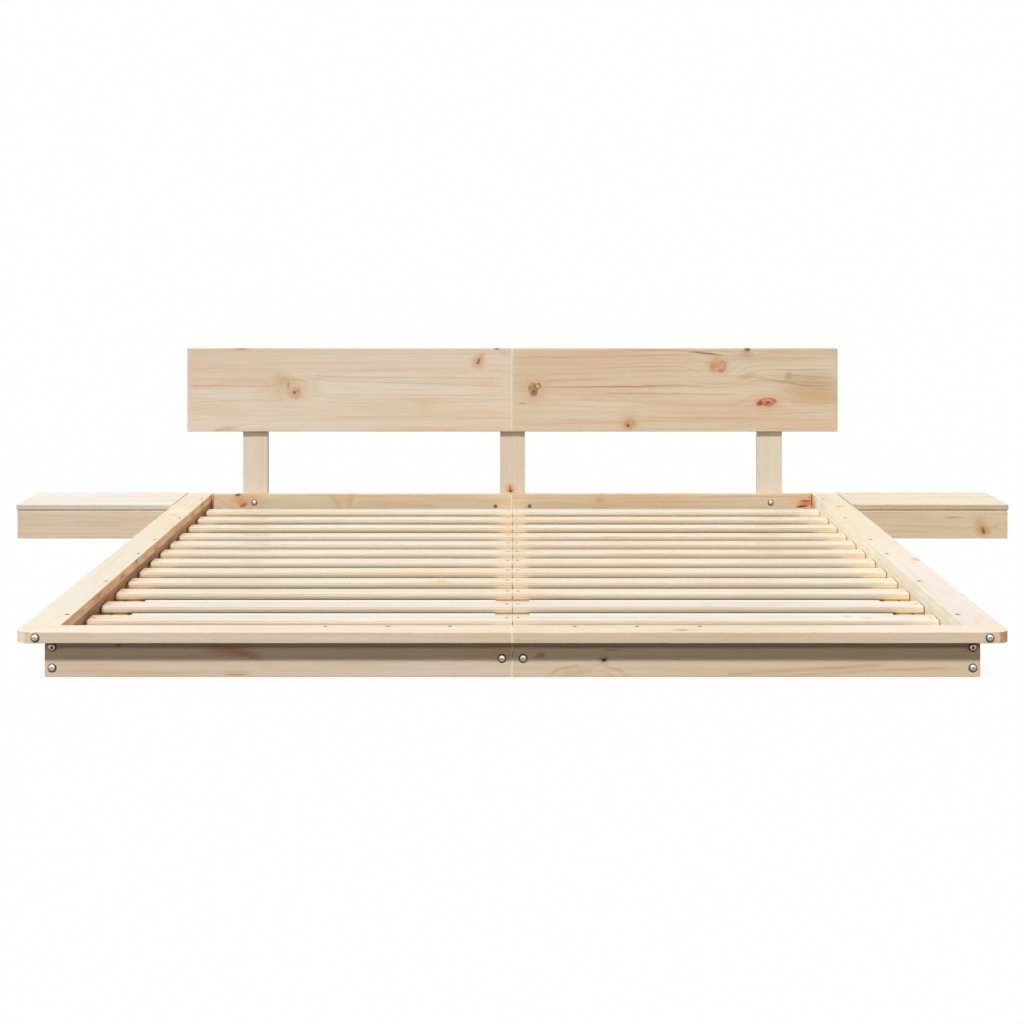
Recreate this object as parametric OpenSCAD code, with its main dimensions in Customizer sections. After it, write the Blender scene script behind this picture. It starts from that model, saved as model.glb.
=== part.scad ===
// Low platform bed in solid pine: overhanging top rails, slatted base, a plain
// headboard on three posts and a low box nightstand on each side.
// Millimetres. +X to the right, +Y towards the headboard, +Z up.
// The origin is on the floor, in the middle of the whole object.

/* [Mattress opening] */
// Clear width between the side boards (a 1800 mm mattress with 5 mm each side)
opening_w = 1810; // [1610:10:2010]
// Clear length from the foot board to the back rail (a 2000 mm mattress)
opening_l = 2010; // [1960:10:2110]

/* [Frame] */
// Height of the top rails and of the nightstand tops above the floor
frame_h = 98; // [92:1:120]
// Thickness of the flat top rails
top_rail_t = 22; // [18:1:24]
// Width of the side top rails
side_rail_w = 75; // [70:1:90]
// Width of the foot top rail
foot_rail_w = 72; // [68:1:90]
// Radius of the two rounded front corners, seen from above
foot_corner_r = 30; // [10:1:32]
// Thickness of the foot board and the side boards
board_t = 26; // [24:1:30]
// Thickness of the back rail
back_rail_t = 25; // [24:1:30]
// Eased edge of the frame boards
edge_r = 1.5; // [1:0.5:3]

/* [Slats] */
// Width of a slat
slat_w = 70; // [60:1:75]
// Thickness of a slat, with fully rounded long edges
slat_t = 16; // [14:1:18]
// Drop from the top of the frame to the top of the slats
slat_drop = 35; // [33:1:38]
// Spacing of the seven middle rows
mid_pitch = 142.5; // [130:0.5:145]
// Spacing of the three rows nearest each end
end_pitch = 158.5; // [140:0.5:160]

/* [Headboard] */
// Height of the headboard boards
headboard_h = 251; // [200:1:300]
// Height of their lower edge above the floor
headboard_z = 285; // [240:1:320]
// Thickness of the headboard boards
headboard_t = 18; // [16:1:22]
// Width of a post
post_w = 75; // [70:1:80]
// Thickness of a post
post_t = 27; // [24:1:30]
// Distance of the outer posts from the centre line
post_x = 777; // [700:1:790]

/* [Nightstands] */
// Width of a nightstand top
stand_w = 452; // [380:1:480]
// Depth of a nightstand top
stand_d = 272; // [260:1:290]
// Thickness of the nightstand boards
stand_t = 15; // [14:1:18]

/* [Fasteners] */
// Diameter of the domed bolt heads
bolt_head_d = 18; // [16:0.5:18]
// Height of the domed bolt heads
bolt_head_h = 4.5; // [4:0.5:5]
// Diameter of the bolt shanks
bolt_d = 8; // [7:0.5:8]
// Diameter of the countersunk screw heads
screw_head_d = 8.6; // [8:0.1:9]

/* [Hidden] */
bed_w = opening_w + 2*side_rail_w;
in_x = opening_w/2;
out_x = bed_w/2;
// depth is first counted from the front face of the foot top rail
y_in0 = foot_rail_w;
y_in1 = y_in0 + opening_l;
y_mid = (y_in0 + y_in1)/2;
y_rail1 = y_in1 + back_rail_t;
y_post1 = y_rail1 + post_t;
y_zero = y_post1/2;
board_h = frame_h - top_rail_t;
slat_top = frame_h - slat_drop;
slat_bot = slat_top - slat_t;
beam_w = 75;
beam_t = 21;
beam_bot = slat_bot - beam_t;
ledger_w = 24;
ledger_h = 30;
batten_w = 38;
batten_t = 12;
end_clear = 40;              // ledgers stop short, clear of the corner nuts
half_gap = 1;                // each half slat stops this far from the centre line
side_gap = 2;                // and this far from the side board
seam = 0.15;                 // each board stops this far from its seam
stand_gap = 2;               // between the top rail and the nightstand top
stand_x0 = out_x + stand_gap;
stand_x1 = stand_x0 + stand_w;
stand_y1 = y_rail1 + 10;
stand_y0 = stand_y1 - stand_d;
stand_h = frame_h - stand_t; // underside of the nightstand top
shadow_gap = 1;
front_set = 3.5;
side_set = 2;
slat_y = [for (k = [-6:6]) y_mid + sign(k)*(min(abs(k), 3)*mid_pitch + max(abs(k) - 3, 0)*end_pitch)];
end_bolt_x = in_x + board_t/2 - 2;
low_z = 18;
high_z = 59;
beam_bolt_x = 21;
beam_bolt_z = 37;
foot_bolt_x = in_x + 34;
foot_bolt_z = board_h + top_rail_t/2;
post_bolt_z = 72;
seam_z = 61;
nut_d = 12;
nut_l = 20;
nut_back = 24;               // from the end of a board to its cross-dowel nut
shank = bolt_d;
hole = bolt_d + 0.6;
rail_screw_x = in_x + 12;
side_screw_y = [y_mid - 892, y_mid - 500, y_mid - 113, y_mid + 113, y_mid + 500, y_mid + 892];
foot_screw_x = [-373.5, -249, -124.5, 124.5, 249, 373.5];
foot_screw_y = foot_rail_w - 12;
slat_screw_x = [12, in_x - 12];
slat_screw_l = 34;
headboard_screw_x = [-post_x - 18, -post_x + 18, -18, 18, post_x - 18, post_x + 18];
headboard_screw_z = [headboard_z + 50, headboard_z + headboard_h - 70];
post_bolt_low = 22;
sleeve_l = 14;
feet_y = [y_mid - 780, y_mid - 390, y_mid, y_mid + 390, y_mid + 780];
ledger_screw_y = [180, 400, 650, 860];
spacer_y0 = stand_y0 + 40;
spacer_y1 = stand_y1 - 52;
stand_bolt_y = [spacer_y0 + 30, spacer_y1 - 30];
stand_bolt_z = 40;
pine = [0.93, 0.83, 0.68];
pine_warm = [0.88, 0.75, 0.58];
steel = [0.75, 0.75, 0.76];
screw_steel = [0.55, 0.53, 0.50];

// ---- shared shapes ----

// moves a shape from front-face depth to the object's own frame
module place() { translate([0, -y_zero, 0]) children(); }

// mirror image for the left side; s is -1 left, 1 right
module side(s) { if (s < 0) mirror([1, 0, 0]) children(); else children(); }

// rectangle with rounded corners
module rounded_rect(w, h, r) {
    translate([r, 0]) square([w - 2*r, h]);
    translate([0, r]) square([w, h - 2*r]);
    for (i = [r, w - r], j = [r, h - r]) translate([i, j]) circle(r = r, $fn = 32);
}

// board between two corners, all twelve edges eased
module board(p, q, r = edge_r) {
    s = q - p;
    translate(p) intersection() {
        linear_extrude(s[2]) rounded_rect(s[0], s[1], r);
        translate([0, s[1], 0]) rotate([90, 0, 0]) linear_extrude(s[1]) rounded_rect(s[0], s[2], r);
        rotate([90, 0, 90]) linear_extrude(s[0]) rounded_rect(s[1], s[2], r);
    }
}

// rods along each axis, from a start point
module rod_x(p, l, d) { translate(p) rotate([0, 90, 0]) cylinder(d = d, h = l, $fn = 32); }
module rod_y(p, l, d) { translate(p) rotate([-90, 0, 0]) cylinder(d = d, h = l, $fn = 32); }
module rod_z(p, l, d) { translate(p) cylinder(d = d, h = l, $fn = 32); }

// domed head with a hexagon socket, seated on z = 0 and standing up
module domed_head() {
    r = bolt_head_d/2;
    rim = 0.8;
    h = bolt_head_h - rim;
    big = (r*r + h*h)/(2*h);
    difference() {
        union() {
            cylinder(r = r, h = rim, $fn = 48);
            intersection() {
                translate([0, 0, bolt_head_h - big]) sphere(r = big, $fn = 64);
                translate([0, 0, rim]) cylinder(r = r, h = h + 1, $fn = 48);
            }
        }
        translate([0, 0, bolt_head_h - 3]) rotate(30) cylinder(d = 5.8, h = 4, $fn = 6);
    }
}

// bolt with its head seated on z = 0 and its shank going down
module bolt(l, d = shank) {
    domed_head();
    translate([0, 0, -l]) cylinder(d = d, h = l, $fn = 32);
}
module bolt_from_front(p, l, d = shank) { translate(p) rotate([90, 0, 0]) bolt(l, d); }
module bolt_from_back(p, l) { translate(p) rotate([-90, 0, 0]) bolt(l); }
module bolt_from_right(p, l) { translate(p) rotate([0, 90, 0]) bolt(l); }

// cross-dowel nut: a short bar going down from z = 0, slotted on top, with a
// cross hole for a bolt along x at a given depth
module cross_dowel(depth, l = nut_l, d = nut_d, h = shank) {
    difference() {
        translate([0, 0, -l]) cylinder(d = d, h = l, $fn = 40);
        translate([-d, 0, -depth]) rotate([0, 90, 0]) cylinder(d = h + 0.2, h = 2*d, $fn = 32);
        translate([-d/2 + 2, -0.8, -1.2]) cube([d - 4, 1.6, 2]);
    }
}

// countersunk wood screw, head up, its face on z = 0
module screw(l, d = 4) {
    difference() {
        union() {
            translate([0, 0, -0.6]) cylinder(d = screw_head_d, h = 0.6, $fn = 32);
            translate([0, 0, -2.9]) cylinder(d1 = d, d2 = screw_head_d, h = 2.3, $fn = 32);
            translate([0, 0, -l + 5]) cylinder(d = d, h = l - 7.9, $fn = 24);
            translate([0, 0, -l]) cylinder(d1 = 1, d2 = d, h = 5, $fn = 24);
        }
        for (a = [0, 90]) rotate(a) translate([-2.3, -0.5, -1.6]) cube([4.6, 1, 2]);
    }
}

// hole for such a screw: countersink at z = 0, clearance below it
module screw_hole(l, d = 4) {
    translate([0, 0, -0.9]) cylinder(d = screw_head_d + 0.6, h = 2, $fn = 32);
    translate([0, 0, -3.5]) cylinder(d1 = d + 0.4, d2 = screw_head_d + 0.6, h = 2.6, $fn = 32);
    translate([0, 0, -l - 0.5]) cylinder(d = d + 0.4, h = l - 2.5, $fn = 24);
}
screw_sink = 0.3;

// ---- where the fasteners go; shared by the pieces and their holes ----

// bolts through one end of the foot board into a side board, right side
module corner_bolt_holes() {
    for (z = [low_z, high_z]) {
        rod_y([end_bolt_x, y_in0 - board_t - 1, z], board_t + nut_back + nut_d, hole);
        rod_x([in_x - 1, y_in0 + nut_back, z], nut_l + 2.4, nut_d + 0.4);
    }
}

// bolts through a side board into the back rail end, right side
module back_corner_holes() {
    for (z = [low_z, 48]) {
        rod_x([in_x - nut_back - nut_d, y_in1 + back_rail_t/2, z], board_t + nut_back + nut_d + 1, hole);
        rod_y([in_x - nut_back, y_in1 - 1, z], nut_l + 2.4, nut_d + 0.4);
    }
}

// foot rail end bolt into the side top rail, right side
module rail_bolt_hole() {
    rod_y([foot_bolt_x, -1, foot_bolt_z], foot_rail_w + nut_back + nut_d, 6.4);
    rod_z([foot_bolt_x, y_in0 + nut_back, board_h - 1], 19, 10.4);
}

// connector along the seam of a cross board: two nuts on the inner face
module cross_seam_holes(y_face, dir, y_axis) {
    rod_x([-62, y_axis, seam_z], 124, 6.4);
    for (s = [-1, 1])
        translate([s*51.5, y_face, seam_z]) rotate([-90*dir, 0, 0])
            translate([0, 0, -1]) cylinder(d = nut_d + 0.6, h = nut_l + 2.6, $fn = 40);
}

// connector along the seam of a side board, right side, nuts from outside
module side_seam_holes() {
    rod_y([in_x + board_t/2, y_mid - 62, 38], 124, 6.4);
    for (s = [-1, 1]) rod_x([in_x + board_t - nut_l - 1.4, y_mid + s*51.5, 38], nut_l + 3, nut_d + 0.4);
}

// centre bolts of the foot board into the beam
module beam_front_holes() {
    for (s = [-1, 1]) {
        rod_y([s*beam_bolt_x, y_in0 - board_t - 1, beam_bolt_z], board_t + nut_back + nut_d, hole);
        rod_z([s*beam_bolt_x, y_in0 + nut_back, beam_bot - 1], 20, nut_d + 0.4);
    }
}

// centre post bolts through the back rail into the beam
module beam_rear_holes() {
    for (s = [-1, 1]) {
        rod_y([s*beam_bolt_x, y_in1 - nut_back - nut_d, beam_bolt_z], nut_back + nut_d + back_rail_t + post_t + 1, hole);
        rod_z([s*beam_bolt_x, y_in1 - nut_back, beam_bot - 1], 20, nut_d + 0.4);
    }
}

// back rail to outer post bolts
module post_bolt_holes() {
    for (s = [-1, 1], z = [post_bolt_low, post_bolt_z])
        rod_y([s*post_x, y_in1 - 1, z], back_rail_t + post_t + 2, hole);
}

// nightstand bolts, right side
module stand_bolt_holes() {
    for (y = stand_bolt_y)
        rod_x([in_x + 7, y, stand_bolt_z], stand_x0 + 2 + stand_t - in_x - 6, hole);
}

// screws of the top rails, right side and foot
module side_rail_screw_holes() {
    for (y = side_screw_y) translate([rail_screw_x, y, frame_h]) screw_hole(50);
}
module foot_rail_screw_holes() {
    for (x = foot_screw_x) translate([x, foot_screw_y, frame_h]) screw_hole(50);
}

// screws of the ledgers into the side boards, right side
module ledger_screw_holes() {
    for (dy = ledger_screw_y, s = [-1, 1])
        translate([in_x - ledger_w, y_mid + s*dy, 32]) rotate([0, -90, 0]) screw_hole(40);
}

// screws of the beam into its feet
module feet_screw_holes() {
    for (y = feet_y, s = [-1, 1])
        translate([s*20, y + s*28, slat_bot]) screw_hole(40);
}

// screws of every slat
module slat_screw_holes() {
    for (y = slat_y, s = [-1, 1], x = slat_screw_x)
        translate([s*x, y, slat_top]) screw_hole(slat_screw_l);
}

// screws from the posts into the headboard
module headboard_screw_holes() {
    for (x = headboard_screw_x, z = headboard_screw_z)
        translate([x, y_post1, z]) rotate([-90, 0, 0]) screw_hole(40);
}

// ---- headboard ----

module headboard_panel(s) {
    color(pine) place() difference() {
        side(s) board([seam, y_rail1 - headboard_t, headboard_z],
            [out_x, y_rail1, headboard_z + headboard_h], 1.5);
        headboard_screw_holes();
    }
}

module headboard_post(x) {
    color(pine) place() difference() {
        board([x - post_w/2, y_rail1, 0], [x + post_w/2, y_post1, headboard_z + headboard_h - 20]);
        post_bolt_holes();
        beam_rear_holes();
        headboard_screw_holes();
    }
}

// ---- frame ----

module back_rail(s) {
    color(pine_warm) place() difference() {
        side(s) board([seam, y_in1, 0], [in_x, y_rail1, frame_h]);
        side(s) back_corner_holes();
        post_bolt_holes();
        beam_rear_holes();
        cross_seam_holes(y_in1, 1, y_in1 + back_rail_t/2);
    }
}

module foot_board(s) {
    color(pine) place() difference() {
        side(s) board([seam, y_in0 - board_t, 0], [in_x + board_t, y_in0, board_h]);
        side(s) corner_bolt_holes();
        beam_front_holes();
        cross_seam_holes(y_in0, -1, y_in0 - board_t/2);
        foot_rail_screw_holes();
    }
}

module side_board(s, rear) {
    color(pine_warm) place() side(s) difference() {
        if (rear) board([in_x, y_mid + seam, 0], [in_x + board_t, y_rail1, board_h]);
        else board([in_x, y_in0, 0], [in_x + board_t, y_mid - seam, board_h]);
        corner_bolt_holes();
        back_corner_holes();
        side_seam_holes();
        side_rail_screw_holes();
        ledger_screw_holes();
        stand_bolt_holes();
    }
}

// flat board at the foot with one rounded outer corner
module foot_top_rail(s) {
    w = out_x - seam;
    color(pine) place() difference() {
        side(s) translate([seam, 0, board_h]) intersection() {
            linear_extrude(top_rail_t) union() {
                translate([edge_r, 0]) square([w - foot_corner_r - edge_r, foot_rail_w]);
                translate([0, edge_r]) square([w - edge_r, foot_rail_w - 2*edge_r]);
                translate([w - foot_corner_r, foot_corner_r]) square([foot_corner_r, foot_rail_w - foot_corner_r - edge_r]);
                translate([w - foot_corner_r, foot_corner_r]) square([foot_corner_r - edge_r, foot_rail_w - foot_corner_r]);
            }
            translate([0, foot_rail_w, 0]) rotate([90, 0, 0]) linear_extrude(foot_rail_w) rounded_rect(w, top_rail_t, edge_r);
            rotate([90, 0, 90]) linear_extrude(w) rounded_rect(foot_rail_w, top_rail_t, edge_r);
            linear_extrude(top_rail_t) union() {
                square([w - foot_corner_r, foot_rail_w]);
                translate([0, foot_corner_r]) square([w, foot_rail_w - foot_corner_r]);
                translate([w - foot_corner_r, foot_corner_r]) circle(r = foot_corner_r, $fn = 96);
            }
        }
        side(s) rail_bolt_hole();
        foot_rail_screw_holes();
    }
}

module side_top_rail(s, rear) {
    color(pine) place() side(s) difference() {
        if (rear) board([in_x, y_mid + seam, board_h], [out_x, y_rail1, frame_h]);
        else board([in_x, y_in0, board_h], [out_x, y_mid - seam, frame_h]);
        rail_bolt_hole();
        side_rail_screw_holes();
    }
}

// ---- what carries the slats ----

module slat_ledger(s, rear) {
    color(pine_warm) place() side(s) difference() {
        if (rear) board([in_x - ledger_w, y_mid + 1, slat_bot - ledger_h], [in_x, y_in1 - end_clear, slat_bot], 1);
        else board([in_x - ledger_w, y_in0 + end_clear, slat_bot - ledger_h], [in_x, y_mid - 1, slat_bot], 1);
        ledger_screw_holes();
        slat_screw_holes();
    }
}

// bull-nosed batten beside each ledger, in two lengths a side
module slat_end_battens() {
    color(pine_warm) place() for (s = [-1, 1]) side(s)
        for (p = [[y_in0 + end_clear, y_mid - 1], [y_mid + 1, y_in1 - end_clear]])
            translate([in_x - ledger_w - batten_w, p[1], slat_bot - batten_t]) rotate([90, 0, 0])
                linear_extrude(p[1] - p[0]) {
                    translate([batten_t/2, 0]) square([batten_w - batten_t, batten_t]);
                    for (i = [batten_t/2, batten_w - batten_t/2]) translate([i, batten_t/2]) circle(d = batten_t, $fn = 48);
                }
}

module center_beam(rear) {
    color(pine_warm) place() difference() {
        if (rear) board([-beam_w/2, y_mid + seam, beam_bot], [beam_w/2, y_in1, slat_bot]);
        else board([-beam_w/2, y_in0, beam_bot], [beam_w/2, y_mid - seam, slat_bot]);
        beam_front_holes();
        beam_rear_holes();
        feet_screw_holes();
        slat_screw_holes();
    }
}

module center_beam_feet() {
    color(pine_warm) place() difference() {
        for (y = feet_y) board([-beam_w/2, y - 45, 0], [beam_w/2, y + 45, beam_bot]);
        feet_screw_holes();
    }
}

// one row: two half slats with rounded long edges
module slat_row(n) {
    y = slat_y[n - 1];
    color(pine) place() difference() {
        for (s = [-1, 1]) side(s)
            translate([half_gap, y - slat_w/2, slat_bot]) rotate([90, 0, 90])
                linear_extrude(in_x - side_gap - half_gap) {
                    translate([slat_t/2, 0]) square([slat_w - slat_t, slat_t]);
                    for (i = [slat_t/2, slat_w - slat_t/2]) translate([i, slat_t/2]) circle(d = slat_t, $fn = 64);
                }
        for (s = [-1, 1], x = slat_screw_x) translate([s*x, y, slat_top]) screw_hole(slat_screw_l);
    }
}

// ---- nightstands ----

module nightstand_top(s) {
    color(pine) place() side(s)
        board([stand_x0, stand_y0, stand_h], [stand_x1, stand_y1, frame_h], 1.5);
}
module nightstand_front(s) {
    color(pine) place() side(s)
        board([stand_x0 + 2, stand_y0 + front_set, 0],
            [stand_x1 - side_set, stand_y0 + front_set + stand_t, stand_h - shadow_gap], 1);
}
module nightstand_back(s) {
    color(pine) place() side(s)
        board([stand_x0 + 2, stand_y1 - side_set - stand_t, 0],
            [stand_x1 - side_set, stand_y1 - side_set, stand_h], 1);
}
module nightstand_outer_side(s) {
    color(pine) place() side(s)
        board([stand_x1 - side_set - stand_t, stand_y0 + front_set + stand_t, 0],
            [stand_x1 - side_set, stand_y1 - side_set - stand_t, stand_h], 1);
}
module nightstand_inner_side(s) {
    color(pine) place() side(s) difference() {
        board([stand_x0 + 2, stand_y0 + front_set + stand_t, 0],
            [stand_x0 + 2 + stand_t, stand_y1 - side_set - stand_t, stand_h], 1);
        stand_bolt_holes();
    }
}
module nightstand_spacer(s) {
    color(pine_warm) place() side(s) difference() {
        board([in_x + board_t, spacer_y0, 8], [stand_x0 + 2, spacer_y1, board_h - 5]);
        stand_bolt_holes();
    }
}

// ---- fasteners ----

module frame_bolts() {
    color(steel) place() {
        for (s = [-1, 1]) side(s) {
            for (z = [low_z, high_z]) bolt_from_front([end_bolt_x, y_in0 - board_t, z], board_t + nut_back + nut_d/2 - 1);
            bolt_from_front([beam_bolt_x, y_in0 - board_t, beam_bolt_z], board_t + nut_back + nut_d/2 - 1);
            bolt_from_back([beam_bolt_x, y_post1, beam_bolt_z], post_t + back_rail_t + nut_back + nut_d/2 - 1);
            for (z = [low_z, 48]) bolt_from_right([in_x + board_t, y_in1 + back_rail_t/2, z], board_t + nut_back + nut_d/2 - 1);
            for (z = [post_bolt_low, post_bolt_z]) bolt_from_front([post_x, y_in1, z], back_rail_t + post_t - 6, 6);
            bolt_from_front([foot_bolt_x, 0, foot_bolt_z], foot_rail_w + nut_back + 4, 6);
        }
    }
}

// domed sleeve nuts on the back of the outer posts, hollow for the bolt ends
module cap_nuts() {
    color(steel) place() for (s = [-1, 1], z = [post_bolt_low, post_bolt_z])
        translate([s*post_x, y_post1, z]) rotate([-90, 0, 0]) {
            domed_head();
            translate([0, 0, -sleeve_l]) difference() {
                cylinder(d = 8.2, h = sleeve_l, $fn = 32);
                translate([0, 0, -1]) cylinder(d = 6.2, h = sleeve_l - 1, $fn = 32);
            }
        }
}

module cross_dowel_nuts() {
    color(steel) place() for (s = [-1, 1]) side(s) {
        // corners: from the inner face of the side board, and of the back rail
        for (z = [low_z, high_z]) translate([in_x + 1, y_in0 + nut_back, z])
            rotate([0, -90, 0]) rotate(90) cross_dowel(end_bolt_x - in_x - 1);
        for (z = [low_z, 48]) translate([in_x - nut_back, y_in1 + 1, z])
            rotate([90, 0, 0]) cross_dowel(back_rail_t/2 - 1);
        // foot rail ends and beam ends: from below
        translate([foot_bolt_x, y_in0 + nut_back, foot_bolt_z - 7])
            rotate([180, 0, 90]) cross_dowel(7, 14, 10, 6);
        for (y = [y_in0 + nut_back, y_in1 - nut_back])
            translate([beam_bolt_x, y, beam_bolt_z - 8]) rotate([180, 0, 90]) cross_dowel(8, 16);
        // seams: from the inner faces of the cross boards, and from outside at the sides
        translate([51.5, y_in1 + 1.2, seam_z]) rotate([90, 0, 0]) cross_dowel(back_rail_t/2 - 1.2, h = 6);
        translate([51.5, y_in0 - 1.2, seam_z]) rotate([-90, 0, 0]) cross_dowel(board_t/2 - 1.2, h = 6);
        for (d = [-1, 1]) translate([in_x + board_t - 1, y_mid + d*51.5, 38])
            rotate([0, 90, 0]) rotate(90) cross_dowel(board_t/2 - 1, h = 6);
    }
}

module seam_connector_bolts() {
    color(steel) place() {
        for (y = [y_in0 - board_t/2, y_in1 + back_rail_t/2]) rod_x([-56, y, seam_z], 112, 6);
        for (s = [-1, 1]) side(s) rod_y([in_x + board_t/2, y_mid - 56, 38], 112, 6);
    }
}

module frame_screws() {
    color(screw_steel) place() {
        for (s = [-1, 1]) side(s) {
            for (y = side_screw_y) translate([rail_screw_x, y, frame_h - screw_sink]) screw(50);
            for (dy = ledger_screw_y, t = [-1, 1])
                translate([in_x - ledger_w + screw_sink, y_mid + t*dy, 32]) rotate([0, -90, 0]) screw(40);
        }
        for (x = foot_screw_x) translate([x, foot_screw_y, frame_h - screw_sink]) screw(50);
        for (y = feet_y, s = [-1, 1]) translate([s*20, y + s*28, slat_bot - screw_sink]) screw(40);
    }
}

module slat_screws() {
    color(screw_steel) place() for (y = slat_y, s = [-1, 1], x = slat_screw_x)
        translate([s*x, y, slat_top - screw_sink]) screw(slat_screw_l);
}

module headboard_screws() {
    color(screw_steel) place() for (x = headboard_screw_x, z = headboard_screw_z)
        translate([x, y_post1 - screw_sink, z]) rotate([-90, 0, 0]) screw(40);
}

module nightstand_bolts() {
    color(steel) place() for (s = [-1, 1], y = stand_bolt_y) side(s)
        bolt_from_right([stand_x0 + 2 + stand_t, y, stand_bolt_z], stand_x0 + 2 + stand_t - in_x - 9);
}

// ---- pieces ----

headboard_panel(-1);  // headboard_panel_left
headboard_panel(1);  // headboard_panel_right
headboard_post(-post_x);  // headboard_post_left
headboard_post(0);  // headboard_post_center
headboard_post(post_x);  // headboard_post_right
back_rail(-1);  // back_rail_left
back_rail(1);  // back_rail_right
foot_board(-1);  // foot_board_left
foot_board(1);  // foot_board_right
side_board(-1, false);  // side_board_left_front
side_board(-1, true);  // side_board_left_rear
side_board(1, false);  // side_board_right_front
side_board(1, true);  // side_board_right_rear
foot_top_rail(-1);  // foot_top_rail_left
foot_top_rail(1);  // foot_top_rail_right
side_top_rail(-1, false);  // side_top_rail_left_front
side_top_rail(-1, true);  // side_top_rail_left_rear
side_top_rail(1, false);  // side_top_rail_right_front
side_top_rail(1, true);  // side_top_rail_right_rear
slat_ledger(-1, false);  // slat_ledger_left_front
slat_ledger(-1, true);  // slat_ledger_left_rear
slat_ledger(1, false);  // slat_ledger_right_front
slat_ledger(1, true);  // slat_ledger_right_rear
slat_end_battens();
center_beam(false);  // center_beam_front
center_beam(true);  // center_beam_rear
center_beam_feet();
slat_row(1);  // slat_row_01
slat_row(2);  // slat_row_02
slat_row(3);  // slat_row_03
slat_row(4);  // slat_row_04
slat_row(5);  // slat_row_05
slat_row(6);  // slat_row_06
slat_row(7);  // slat_row_07
slat_row(8);  // slat_row_08
slat_row(9);  // slat_row_09
slat_row(10);  // slat_row_10
slat_row(11);  // slat_row_11
slat_row(12);  // slat_row_12
slat_row(13);  // slat_row_13
nightstand_top(-1);  // nightstand_left_top
nightstand_front(-1);  // nightstand_left_front
nightstand_back(-1);  // nightstand_left_back
nightstand_outer_side(-1);  // nightstand_left_outer_side
nightstand_inner_side(-1);  // nightstand_left_inner_side
nightstand_top(1);  // nightstand_right_top
nightstand_front(1);  // nightstand_right_front
nightstand_back(1);  // nightstand_right_back
nightstand_outer_side(1);  // nightstand_right_outer_side
nightstand_inner_side(1);  // nightstand_right_inner_side
nightstand_spacer(-1);  // nightstand_spacer_left
nightstand_spacer(1);  // nightstand_spacer_right
frame_bolts();
cap_nuts();
cross_dowel_nuts();
seam_connector_bolts();
frame_screws();
slat_screws();
headboard_screws();
nightstand_bolts();
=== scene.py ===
import math
import random

import bpy
import bmesh
from mathutils import Matrix, Vector


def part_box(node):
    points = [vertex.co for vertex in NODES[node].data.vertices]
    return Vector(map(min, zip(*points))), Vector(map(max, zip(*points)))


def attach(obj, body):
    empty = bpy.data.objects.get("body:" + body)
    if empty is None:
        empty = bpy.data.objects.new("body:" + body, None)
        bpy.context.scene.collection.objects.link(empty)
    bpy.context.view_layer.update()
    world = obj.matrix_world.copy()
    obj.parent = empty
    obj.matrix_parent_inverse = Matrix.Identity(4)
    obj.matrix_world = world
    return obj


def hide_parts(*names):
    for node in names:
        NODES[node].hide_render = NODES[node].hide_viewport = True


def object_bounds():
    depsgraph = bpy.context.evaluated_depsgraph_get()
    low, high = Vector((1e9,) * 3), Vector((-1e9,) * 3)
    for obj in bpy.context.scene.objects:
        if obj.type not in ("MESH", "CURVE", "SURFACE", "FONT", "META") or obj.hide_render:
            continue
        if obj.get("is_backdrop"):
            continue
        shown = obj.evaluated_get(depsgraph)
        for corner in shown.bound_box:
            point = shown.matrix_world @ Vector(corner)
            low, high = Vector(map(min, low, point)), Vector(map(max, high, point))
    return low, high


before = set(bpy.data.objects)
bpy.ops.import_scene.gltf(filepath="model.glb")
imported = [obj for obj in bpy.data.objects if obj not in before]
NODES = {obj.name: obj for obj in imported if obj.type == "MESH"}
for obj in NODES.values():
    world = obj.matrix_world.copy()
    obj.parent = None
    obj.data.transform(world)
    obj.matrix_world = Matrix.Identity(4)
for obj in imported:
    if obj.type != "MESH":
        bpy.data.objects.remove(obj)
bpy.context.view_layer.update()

# The row frame is in metres. Depth is often counted in millimetres behind the
# front face of the foot top rail, as in the construction.
Y_ZERO = 1067.0
Y_MID = 1077.0


def at(x, yf, z):
    return Vector((x / 1000, (yf - Y_ZERO) / 1000, z / 1000))


def lin(r, g, b, a=1.0):
    """sRGB 0..255 to linear"""
    def f(c):
        c /= 255
        return c / 12.92 if c <= 0.04045 else ((c + 0.055) / 1.055) ** 2.4
    return (f(r), f(g), f(b), a)


def ink_of(rgb):
    """the pigment that shows as this colour under the lacquer's sheen"""
    c = lin(*rgb)
    return tuple(max(v * k - 0.013, 0.0015) for v, k in zip(c, (1.0, 0.945, 0.86))) + (1.0,)


# ---------------------------------------------------------------- node helper


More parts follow.
